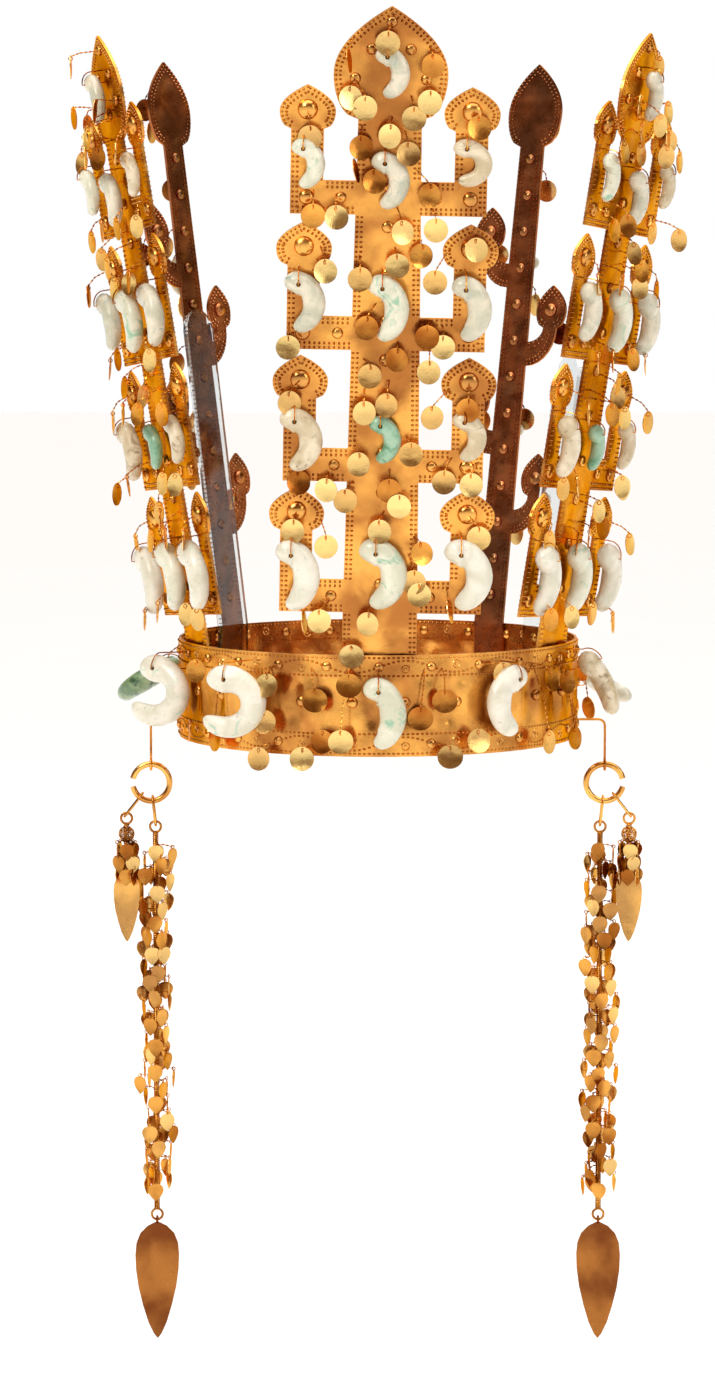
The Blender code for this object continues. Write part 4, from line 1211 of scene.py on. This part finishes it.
def tree_domes(plate):
    """Bosses of a tree, front and back; returns the tops that wires can start from."""
    tops = []
    for level, foot in enumerate(BAR_FOOTS):
        centre = post_centre(level)
        bud_up = foot + BAR_HEIGHT + POST_HEIGHT + BUD_HEIGHT * 0.44
        for outer in (True, False):
            for side in (-1, 1):
                plate.dome(centre * side, bud_up, BUD_DOME_RADIUS, BUD_DOME_HEIGHT, outer, 20, 5)
                bar_up = foot + BAR_HEIGHT * 0.5
                plate.dome(centre * side, bar_up, 0.0034, 0.0019, outer, 16, 4)
                plate.dome(centre * side * 0.58, bar_up, SMALL_DOME_RADIUS, SMALL_DOME_HEIGHT, outer)
            for rise in (0.2, 0.95, 1.7):
                up = foot + BAR_HEIGHT * 0.5 + (BAR_HEIGHT + POST_HEIGHT) * rise * 0.75
                plate.dome(0.0, up, SMALL_DOME_RADIUS * 1.1, SMALL_DOME_HEIGHT, outer)
        for side in (-1, 1):
            tops.append((centre * side, bud_up, BUD_DOME_HEIGHT))
    for across, share in ((-0.34, 0.62), (0.34, 0.62), (-0.62, 0.36), (0.62, 0.36), (0.0, 0.86)):
        spot = (across * TOP_BUD_WIDTH / 2, TREE_NECK + share * TOP_BUD_HEIGHT)
        for outer in (True, False):
            plate.dome(*spot, SMALL_DOME_RADIUS, SMALL_DOME_HEIGHT, outer)
        tops.append((*spot, SMALL_DOME_HEIGHT))
    return tops


def hang_spangles(plate, centres, tops, edge_on=(), farthest=0.0085):
    """Hang a spangle at each place, from a boss above it or from the sheet."""
    grid = plate.inner_spots
    for number, (across, up) in enumerate(list(centres) + list(edge_on)):
        thin = number >= len(centres)
        hang_up = up + SPANGLE_RADIUS * SPANGLE_HOLE_SHARE
        near = [top for top in tops if math.dist(top[:2], (across, hang_up + 0.002)) < 0.0085]
        if near:
            best = min(near, key=lambda top: math.dist(top[:2], (across, hang_up)))
            root, root_out = best[:2], best[2] - 0.0003
        else:
            wanted = (across + 0.004 * chance.uniform(-1, 1), hang_up + chance.uniform(0.003, 0.007))
            gaps = ((grid - np.array(wanted)) ** 2).sum(axis=1)
            root, root_out = tuple(grid[int(gaps.argmin())]), 0.0
        out = SHEET / 2 + chance.uniform(0.0050, farthest)
        turn = math.radians(80) if thin else chance.uniform(-0.45, 0.45)
        tilt = chance.uniform(0.0, 0.24)
        shade = chance.choice((0.45, 0.75, 0.90, 1.00))
        plate.spangle((across, up), out, root, root_out, turn, tilt, shade)


def tree_pattern():
    """Places of a side tree's spangles."""
    spots = []
    for level, foot in enumerate(BAR_FOOTS):
        reach = bar_reach(level)
        centre = post_centre(level)
        bud_up = foot + BAR_HEIGHT + POST_HEIGHT + BUD_HEIGHT * 0.44
        for side in (-1, 1):
            spots.append((side * reach * 0.47, foot + BAR_HEIGHT * 0.2))
            spots.append((side * reach * 0.86, foot + BAR_HEIGHT * 0.05))
            spots.append((side * (centre + 0.0025), bud_up - 0.0100))
            spots.append((side * 0.0075, foot + BAR_HEIGHT + POST_HEIGHT * 0.95))
        spots.append((-0.0060, foot + BAR_HEIGHT + POST_HEIGHT * 1.60))
        spots.append((0.0050, foot + BAR_HEIGHT + POST_HEIGHT * 1.35))
    for across, share in ((-0.62, 0.30), (0.62, 0.30), (0.0, 0.72), (-0.4, 0.05), (0.4, 0.05)):
        spots.append((across * TOP_BUD_WIDTH / 2, TREE_NECK + share * TOP_BUD_HEIGHT))
    return [(x + 0.0012 * chance.uniform(-1, 1), y + 0.0015 * chance.uniform(-1, 1)) for x, y in spots]


def build_bead(node, height, bow_side, surface, place, stone):
    """A loose bead, bored through its head."""
    spread, curl = BEAD_BOWS.get(node.replace("band_", "").replace("bead_", ""), (1.0, 1.0))
    head = bead_head(height, bow_side, surface, spread)
    shape = Shape()
    notches = 3 if node in ("bead_c_left", "bead_a_left", "bead_d_centre") else 0
    shape.add(*bead_shape(height, bow_side, surface, spread, curl, notches), place)
    look = "dark_mottled_jade" if node == "band_bead_left_back" else stone
    bead = make_piece("stone_" + node, shape, stones[look], "crown", [node], 60)
    bore(bead, place @ Matrix.Translation(head), height)


def build_tree(name, seed):
    """A tree: its dented sheet, goldsmith's work, spangles and beads."""
    azimuth, roll, drop = TREES[name]
    place = tree_place(azimuth, roll, drop)
    plate = Plate(tree_outline(), place, drop, seed)
    plate.edge_dots(True)
    plate.edge_dots(False)
    tops = tree_domes(plate)
    front = name == "front_tree"
    if front:
        centres = [drawn_spot(pixel, place, 0.0075) for pixel in FRONT_SPANGLES]
        thin = [drawn_spot(pixel, place, 0.0075) for pixel in FRONT_EDGE_ON]
        hang_spangles(plate, centres, tops, thin)
    else:
        hang_spangles(plate, tree_pattern(), tops, farthest=0.0145)
    groups = {}
    for bead, across, top, height, stone in tree_bead_spots():
        spot = Matrix.Translation((across, top, 0))
        spread, curl = BEAD_BOWS.get(bead, (1.0, 1.0)) if front else (1.0, 1.0)
        head = bead_head(height, 1, SHEET / 2, spread)
        plate.gold.add(*hook_mesh(head, height, SHEET / 2), place @ spot, HOOK_SHADE)
        if front:
            build_bead("bead_" + bead, height, 1, SHEET / 2, place @ spot, stone)
        else:
            shape = groups.setdefault(stone, Shape())
            shape.add(*bead_shape(height, 1, SHEET / 2, sides=16, rings=26), place @ spot)
    for stone, shape in groups.items():
        make_piece(name + "_" + stone, shape, stones[stone], "crown", [name], 60)
    make_piece(name + "_sheet", plate.shape, gold, "crown", [name], 40)
    make_piece(name + "_work", plate.gold, gold, "crown", [name], 50)


# Antlers


def build_antler(name, seed):
    """An antler with bosses down its stem, spangles and two beads."""
    place = upright_place(ANTLERS[name], ANTLER_FOOT_WIDTH / 2)
    plate = Plate(antler_outline(), place, 0.0, seed)
    plate.edge_dots(True)
    plate.edge_dots(False)
    tops = []
    for side, share in ANTLER_BRANCHES:
        centre = (ANTLER_REACH - ANTLER_ARM / 2) * side
        bud_up = share * ANTLER_HEIGHT + ANTLER_ARM * 2.4 + ANTLER_BUD_HEIGHT * 0.42
        tops.append((centre, bud_up, 0.0020))
        for outer in (True, False):
            plate.dome(centre, bud_up, 0.0034, 0.0020, outer, 16, 4)
    count = 13
    for index in range(count):
        up = ANTLER_HEIGHT * (0.05 + 0.78 * index / (count - 1))
        for outer in (True, False):
            plate.dome(0.0, up, SMALL_DOME_RADIUS, SMALL_DOME_HEIGHT, outer)
    spots = []
    for index in range(9):
        up = ANTLER_HEIGHT * (0.06 + 0.82 * index / 8)
        spots.append((0.0045 * (-1) ** index, up))
    for across, up, height in tops:
        spots.append((across, up - 0.0100))
    spots.append((0.008, ANTLER_HEIGHT - ANTLER_TOP_BUD_HEIGHT * 0.55))
    spots.append((-0.007, ANTLER_HEIGHT - ANTLER_TOP_BUD_HEIGHT * 0.75))
    hang_spangles(plate, spots, tops)
    stone = "cream_jade" if name == "left_antler" else "blue_jade"
    beads = Shape()
    for share in (0.36, 0.66):
        height = BEAD_HEIGHT * 0.6
        spot = place @ Matrix.Translation((0, share * ANTLER_HEIGHT, 0))
        beads.add(*bead_shape(height, 1, SHEET / 2, sides=16, rings=26), spot)
        head = bead_head(height, 1, SHEET / 2)
        plate.gold.add(*hook_mesh(head, height, SHEET / 2), spot, HOOK_SHADE)
    make_piece(name + "_beads", beads, stones[stone], "crown", [name], 60)
    # The antlers' sheet and work take the darker gold: painted shade
    make_piece(name + "_sheet", plate.shape, golds["shaded_antler_gold"], "crown", [name], 40)
    make_piece(name + "_work", plate.gold, golds["shaded_antler_gold"], "crown", [name], 50)


# Headband


BAND_BEADS = (
    ("centre", 1.0, 1.00, 0.80, 1, "mottled_jade"),
    ("left_front", -41.0, 1.00, 0.88, 1, "white_jade"),
    ("right_front", 38.5, 1.00, 0.88, -1, "white_jade"),
    ("left_side", -71.5, 1.00, 0.88, 1, "white_jade"),
    ("right_side", 76.0, 1.00, 0.92, 1, "cream_jade"),
    ("left_back", -112.0, 1.10, 0.72, 1, "mottled_jade"),
    ("right_back", 112.0, 1.00, 0.66, 1, "blue_jade"),
    ("left_rear", -152.0, 0.90, 0.84, 1, "cream_jade"),
    ("right_rear", 152.0, 0.90, 0.84, 1, "white_jade"),
)
HANGING_BEADS = {
    "left_front": (22.0, 0.0, 0.0050),
    "left_side": (40.0, 8.0, 0.0065),
    "right_side": (0.0, 26.0, 0.0020),
    "left_back": (0.0, 60.0, 0.0100),
    "right_back": (0.0, 60.0, 0.0100),
}


def pendant_hook(side):
    """Wire from the band's side to the eye that a pendant's ring hangs in."""
    shoulder = PENDANT_OFFSET * side
    wall = (BAND_WIDTH / 2 - BAND_WALL / 2) * side
    route = [(wall, 0.0, PENDANT_HOOK_RISE)]
    for index in range(7):
        angle = math.pi / 2 * index / 6
        x = shoulder - PENDANT_HOOK_BEND * (1 - math.sin(angle)) * side
        route.append((x, 0.0, PENDANT_HOOK_RISE - PENDANT_HOOK_BEND * (1 - math.cos(angle))))
    route.append((shoulder, 0.0, -PENDANT_DROP + EYE_RADIUS))
    return tube_mesh(route, HOOK_WIRE / 2, 8)


def eye_mesh(centre, radius, wire, axis):
    """A closed round loop of wire; the axis is that of its hole."""
    points = []
    for side, up in circle(20, radius):
        offset = (0, side, up) if axis == "X" else (side, 0, up)
        points.append(Vector(centre) + Vector(offset))
    return tube_mesh(points, wire / 2, 8, closed=True)


def build_band():
    """The headband with its punched borders, spangles, beads and hooks."""
    wall = Wall()
    wall.inner_spots = np.array([(x * PERIMETER / 300, 0.038) for x in range(300)])
    wall.borders(True)
    wall.borders(False)
    centres = [band_spot(pixel, 0.007) for pixel in BAND_SPANGLES]
    tops = []
    for index in range(2 * WAVES):
        for height in (0.0389, 0.0055):
            tops.append((HALF_WAVE * index, height, 0.0014))
        wall.dome(HALF_WAVE * (index + 0.5), 0.0235, 0.0026, 0.0016, True, 14, 3)
    for index in range(22):
        along = PERIMETER * (0.27 + 0.46 * index / 21)
        centres.append((along, 0.026 if index % 2 else 0.010))
    hang_spangles(wall, centres, tops)
    for name, degrees, size, top, bow_side, stone in BAND_BEADS:
        height = BEAD_HEIGHT * size
        place = wall_place(math.radians(degrees), BAND_HEIGHT * top)
        spread, curl = BEAD_BOWS.get(name, (1.0, 1.0))
        head = bead_head(height, bow_side, 0.0, spread)
        hang = hang_turn(head, *HANGING_BEADS.get(name, (0.0, 0.0, 0.0)))
        wall.gold.add(*hook_mesh(head, height, 0.0, hang), place, HOOK_SHADE)
        build_bead("band_bead_" + name, height, bow_side, 0.0, place @ hang, stone)
    for side in (-1, 1):
        eye = (PENDANT_OFFSET * side, 0.0, -PENDANT_DROP)
        wall.gold.add(*pendant_hook(side), shade=HOOK_SHADE)
        wall.gold.add(*eye_mesh(eye, EYE_RADIUS, HOOK_WIRE, "X"), shade=HOOK_SHADE)
    make_piece("band_sheet", wall.shape, gold, "crown", ["band"], 40)
    make_piece("band_work", wall.gold, gold, "crown", ["band"], 50)


# Pendants


# Half outlines of leaves from the stalk to the point: share of half the width, share of
# the length
HEART_SIDE = (
    (0.03, -0.02), (0.34, 0.00), (0.66, 0.05), (0.90, 0.18), (1.00, 0.36),
    (0.88, 0.56), (0.58, 0.77), (0.28, 0.91), (0.02, 1.00),
)
LONG_SIDE = (
    (0.10, 0.00), (0.45, 0.03), (0.78, 0.09), (0.95, 0.17), (1.00, 0.27), (0.97, 0.40),
    (0.86, 0.55), (0.66, 0.71), (0.42, 0.86), (0.18, 0.96), (0.02, 1.00),
)


def leaf_mesh(side, width, length, sheet, fold, cup=0.0, curl=0.0):
    """A leaf that hangs from zero: its halves fold forward along a middle crease."""
    columns = (-1.0, -0.55, 0.0, 0.55, 1.0)
    front = []
    for wide, down in side:
        for column in columns:
            across = column * wide * width / 2
            out = math.tan(fold) * abs(across) - cup * (1 - down) * down * 4
            out += curl * max(0.0, -column) ** 2 * math.sin(math.pi * down)
            front.append((across, -length * down, out))
    count = len(front)
    rows = len(side)
    wide = len(columns)
    points = front + [(x, y, z - sheet) for x, y, z in front]
    faces = grid_faces(rows, wide)
    faces += [tuple(index + count for index in reversed(face)) for face in faces]
    border = list(range(wide))
    border += [row * wide + wide - 1 for row in range(1, rows)]
    border += [(rows - 1) * wide + column for column in reversed(range(wide - 1))]
    border += [row * wide for row in reversed(range(1, rows - 1))]
    for start, end in zip(border, border[1:] + border[:1]):
        faces.append((end, start, start + count, end + count))
    return points, faces


def coil_mesh(top, bottom, radius, wire, pitch):
    """A tight coil of wire along Z."""
    turns = (top - bottom) / pitch
    count = int(turns * 9)
    points = []
    for index in range(count + 1):
        angle = 2 * math.pi * turns * index / count
        up = top - (top - bottom) * index / count
        points.append((radius * math.cos(angle), radius * math.sin(angle), up))
    return tube_mesh(points, wire, 4)


def hang_heart(shape, height, azimuth, reach, rise, swivel, size=1.0):
    """A heart-shaped leaf on a twisted wire that stands out from a strand's core."""
    turn = Matrix.Rotation(azimuth, 4, "Z")
    end = Vector((0, -reach, height + rise))
    middle = Vector((0, -reach * 0.5, height + rise * 0.5 + 0.0005))
    wire = twisted_wire([Vector((0, -0.0008, height)), middle, end], WIRE)
    shape.add(*wire, turn, WIRE_SHADE)
    loop = Matrix.Translation(end) @ STAND_UP
    shape.add(*loop_mesh(0.0008, LOOP_WIRE, 8), turn @ loop, WIRE_SHADE)
    leaf = leaf_mesh(HEART_SIDE, 0.0072 * size, 0.0080 * size, 0.0003, math.radians(7), 0.0003)
    hang = Matrix.Translation(end - Vector((0, 0, 0.0007)))
    hang = hang @ Matrix.Rotation(swivel, 4, "Z") @ STAND_UP
    shade = chance.choice((0.35, 0.45, 0.55, 0.80))
    shape.add(*leaf, turn @ hang, shade)


def main_strand():
    """The long strand about its top eye: a coiled core with tiers of hearts."""
    shape = Shape()
    top = -EYE_RADIUS
    bottom = top - STRAND_LENGTH
    shape.add(*coil_mesh(top + 0.0004, bottom - 0.0004, 0.00115, 0.00036, 0.0009), shade=HOOK_SHADE)
    shape.add(*tube_mesh([(0, 0, top), (0, 0, bottom)], 0.0009, 8), shade=0.2)
    shape.add(*eye_mesh((0, 0, 0), EYE_RADIUS, LINK_WIRE, "Y"), shade=HOOK_SHADE)
    shape.add(*eye_mesh((0, 0, bottom - EYE_RADIUS), EYE_RADIUS, LINK_WIRE, "Y"), shade=HOOK_SHADE)
    tiers = 21
    for tier in range(tiers):
        for index in range(4):
            azimuth = math.radians(90 * index + 41 * tier + 16 * chance.uniform(-1, 1))
            height = top - 0.004 - (STRAND_LENGTH - 0.014) * (tier + 0.22 * index) / tiers
            reach = STRAND_REACH * chance.uniform(0.62, 1.22)
            rise = 0.0012 * chance.uniform(-1, 1.2)
            hang_heart(shape, height, azimuth, reach, rise, chance.uniform(-0.7, 0.7))
    return shape


def short_strand(side):
    """The short strand: a round cage of loops, small leaves and two long folded leaves."""
    shape = Shape()
    top = -EYE_RADIUS
    length = SHORT_STRAND_LENGTH
    shape.add(*coil_mesh(top + 0.0004, top - length, 0.0011, 0.00036, 0.0009), shade=HOOK_SHADE)
    shape.add(*eye_mesh((0, 0, 0), EYE_RADIUS, LINK_WIRE, "Y"), shade=HOOK_SHADE)
    for cage_up, radius, count in ((top - length * 0.20, 0.0033, 30), (top - length * 0.94, 0.0025, 14)):
        for index in range(count):
            up = 1 - 2 * (index + 0.5) / count
            angle = index * math.radians(137.5)
            flat = math.sqrt(1 - up * up)
            outward = Vector((flat * math.cos(angle), flat * math.sin(angle), up))
            turn = outward.to_track_quat("X", "Z").to_matrix().to_4x4()
            spot = Matrix.Translation(Vector((0, 0, cage_up)) + outward * radius) @ turn
            shape.add(*loop_mesh(0.00085, 0.00025, 8), spot, 0.5)
            shape.add(*dome_mesh(0.0004, 0.0004, 6, 2), spot @ Matrix.Rotation(math.pi / 2, 4, "Y"), 0.5)
    for tier in range(3):
        for index in range(5):
            azimuth = math.radians(72 * index + 30 * tier + 12 * chance.uniform(-1, 1))
            height = top - length * (0.36 + 0.25 * tier)
            hang_heart(shape, height, azimuth, 0.0044, 0.0, chance.uniform(-0.5, 0.5), 0.95)
    foot = Matrix.Translation((0, 0, top - length * 0.96)) @ STAND_UP
    fold = math.radians(16)
    large = leaf_mesh(LONG_SIDE, LARGE_LEAF_WIDTH, LARGE_LEAF_LENGTH, 0.0005, fold, 0.0006, 0.0008)
    shape.add(*large, foot, 0.6)
    slim = leaf_mesh(LONG_SIDE, 0.0080, 0.0215, 0.0005, fold, 0.0006)
    beside = Matrix.Translation((-0.0066 * side, 0, top - length * 0.92))
    shape.add(*slim, beside @ Matrix.Rotation(math.radians(70 * side), 4, "Z") @ STAND_UP, 0.45)
    return shape


def long_link(direction, centre):
    """An oval link in the plane of a direction and the Y axis."""
    half = LINK_LENGTH / 2 - LINK_WIDTH / 2
    points = []
    steps = 10
    for end in (1, -1):
        for index in range(steps):
            angle = math.pi * index / (steps - 1) + (0.0 if end > 0 else math.pi)
            along = half * end + LINK_WIDTH / 2 * math.sin(angle)
            points.append(centre + direction * along + Vector((0, LINK_WIDTH / 2 * math.cos(angle), 0)))
    return tube_mesh(points, LINK_WIRE / 2, 8, closed=True)


def build_pendant(prefix, side):
    """Ring, links, strands and end leaf of one pendant."""
    body = prefix
    centre = Vector((PENDANT_OFFSET * side, 0, -PENDANT_DROP - RING_RADIUS))
    flat = Matrix.Translation(centre)
    points = []
    shares = []
    turns = 48
    for index in range(turns + 1):
        angle = RING_MOUTH / 2 + (2 * math.pi - RING_MOUTH) * index / turns
        angle = angle if side > 0 else math.pi - angle
        points.append((RING_RADIUS * math.cos(angle), 0, RING_RADIUS * math.sin(angle)))
        shares.append(0.98 + 0.02 * math.sin(7 * angle))
    shape = Shape()
    shape.add(*tube_mesh(points, RING_WIRE / 2, 16, shares=shares), flat, 0.5)
    make_piece(prefix + "_rod_ring", shape, golds["rod_gold"], body, [prefix + "_ring"], 50)
    for link, angle in LINK_ANGLES.items():
        direction = Vector((math.cos(angle) * -side, 0, math.sin(angle)))
        inner = RING_RADIUS - RING_WIRE / 2 - GAP - LINK_WIRE / 2
        shape = Shape()
        shape.add(*long_link(direction, direction * (inner + LINK_LENGTH / 2)), flat, 0.5)
        node = "%s_%s_link" % (prefix, link)
        make_piece(node + "_wire", shape, golds["rod_gold"], body, [node], 50)
        foot = direction * (inner + LINK_LENGTH - LINK_WIRE - GAP)
        eye = flat @ Matrix.Translation(foot - Vector((0, 0, EYE_RADIUS - LINK_WIRE / 2)))
        strand = main_strand() if link == "main" else short_strand(side)
        shape = Shape()
        shape.merge(strand, eye)
        node = "%s_%s_strand" % (prefix, link)
        make_piece(node + "_leaves", shape, golds["leaf_gold"], body, [node], 50)
        if link == "main":
            hinge = eye @ Matrix.Translation((0, 0, -3 * EYE_RADIUS - STRAND_LENGTH))
            build_end_leaf(prefix, hinge, side)


def build_end_leaf(prefix, hinge, side):
    """The large leaf that swings at the end of the long strand."""
    loop = LINK_WIRE + GAP
    shape = Shape()
    shape.add(*eye_mesh((0, 0, 0), loop, LINK_WIRE, "X"), hinge, HOOK_SHADE)
    fold = math.radians(12)
    leaf = leaf_mesh(LONG_SIDE, END_LEAF_WIDTH, END_LEAF_LENGTH, 0.0008, fold, 0.0012, 0.0022)
    place = hinge @ Matrix.Translation((0, 0, -loop)) @ STAND_UP
    if side > 0:
        place = place @ Matrix.Scale(-1, 4, (1, 0, 0))
    shape.add(*leaf, place, 0.35)
    body = prefix.replace("pendant", "leaf")
    look = golds["large_leaf_gold"]
    make_piece(prefix + "_large_leaf", shape, look, body, [prefix + "_end_leaf"], 40)


# Studio


def studio_material(name, colour):
    """Matt pale paper."""
    material, tree, shader = start_material(name)
    shade = add_range(tree, add_noise(tree, 3.0, 2.0), 0.3, 0.7)
    lighter = tuple(min(1.0, value * 1.01) for value in colour)
    tree.links.new(add_blend(tree, shade, colour, lighter), shader.inputs["Base Color"])
    set_inputs(shader, Roughness=0.9, Specular_IOR_Level=0.1)
    return material


def add_floor():
    """A plain pale floor just below the pendants."""
    low = cad_box[0][2] - 0.03
    size = 14.0
    mesh = bpy.data.meshes.new("floor")
    corners = [(-size, -size, low), (size, -size, low), (size, size, low), (-size, size, low)]
    mesh.from_pydata(corners, [], [(0, 1, 2, 3)])
    mesh.materials.append(studio_material("pale_floor", (0.90, 0.89, 0.88)))
    floor = place_object("floor", mesh)


def add_light(name, spot, target, size, power, colour=(1.0, 1.0, 1.0)):
    """A soft square light that faces its target."""
    data = bpy.data.lights.new(name, "AREA")
    data.size = size
    data.energy = power
    data.color = colour
    light = place_object(name, data)
    light.location = spot
    light.rotation_euler = (Vector(target) - Vector(spot)).to_track_quat("-Z", "Y").to_euler()


def add_world():
    """Pale low down and overhead, dimmer between them, so that metal shows its form."""
    world = bpy.data.worlds.new("studio")
    bpy.context.scene.world = world
    world.use_nodes = True
    tree = world.node_tree
    place = add_node(tree, "TexCoord")
    parts = add_node(tree, "SeparateXYZ")
    tree.links.new(place.outputs["Generated"], parts.inputs["Vector"])
    dimmer = add_range(tree, parts.outputs["Z"], 0.07, 0.19, smooth=True)
    colour = add_blend(tree, dimmer, (1.0, 1.0, 1.0), (0.17, 0.09, 0.04))
    overhead = add_range(tree, parts.outputs["Z"], 0.58, 0.80, smooth=True)
    colour = add_blend(tree, overhead, colour, (2.0, 2.0, 2.0))
    background = tree.nodes["Background"]
    tree.links.new(colour, background.inputs["Color"])
    set_inputs(background, Strength=1.0)


build_band()
build_tree("front_tree", 0.4)
build_tree("left_tree", 2.3)
build_tree("right_tree", 3.9)
build_antler("left_antler", 5.2)
build_antler("right_antler", 0.9)
build_pendant("left_pendant", -1)
build_pendant("right_pendant", 1)
for strip in ("left_strip", "right_strip"):
    kept = bpy.data.objects[strip].data.materials
    kept.clear()
    kept.append(clear)

add_floor()
add_world()
add_light("key", (-1.3, -1.7, 1.6), (0, 0, 0.1), 0.7, 25.0, (1.0, 0.98, 0.95))
add_light("fill", (1.7, -1.3, 0.9), (0, 0, 0.1), 0.8, 8.0, (0.97, 0.98, 1.0))
add_light("top", (0.0, 0.3, 2.1), (0, 0, 0.1), 1.0, 6.0)
add_light("back", (0.4, 1.9, 1.0), (0, 0, 0.15), 0.9, 7.0)
add_camera()
bpy.context.scene.view_settings.view_transform = "Standard"
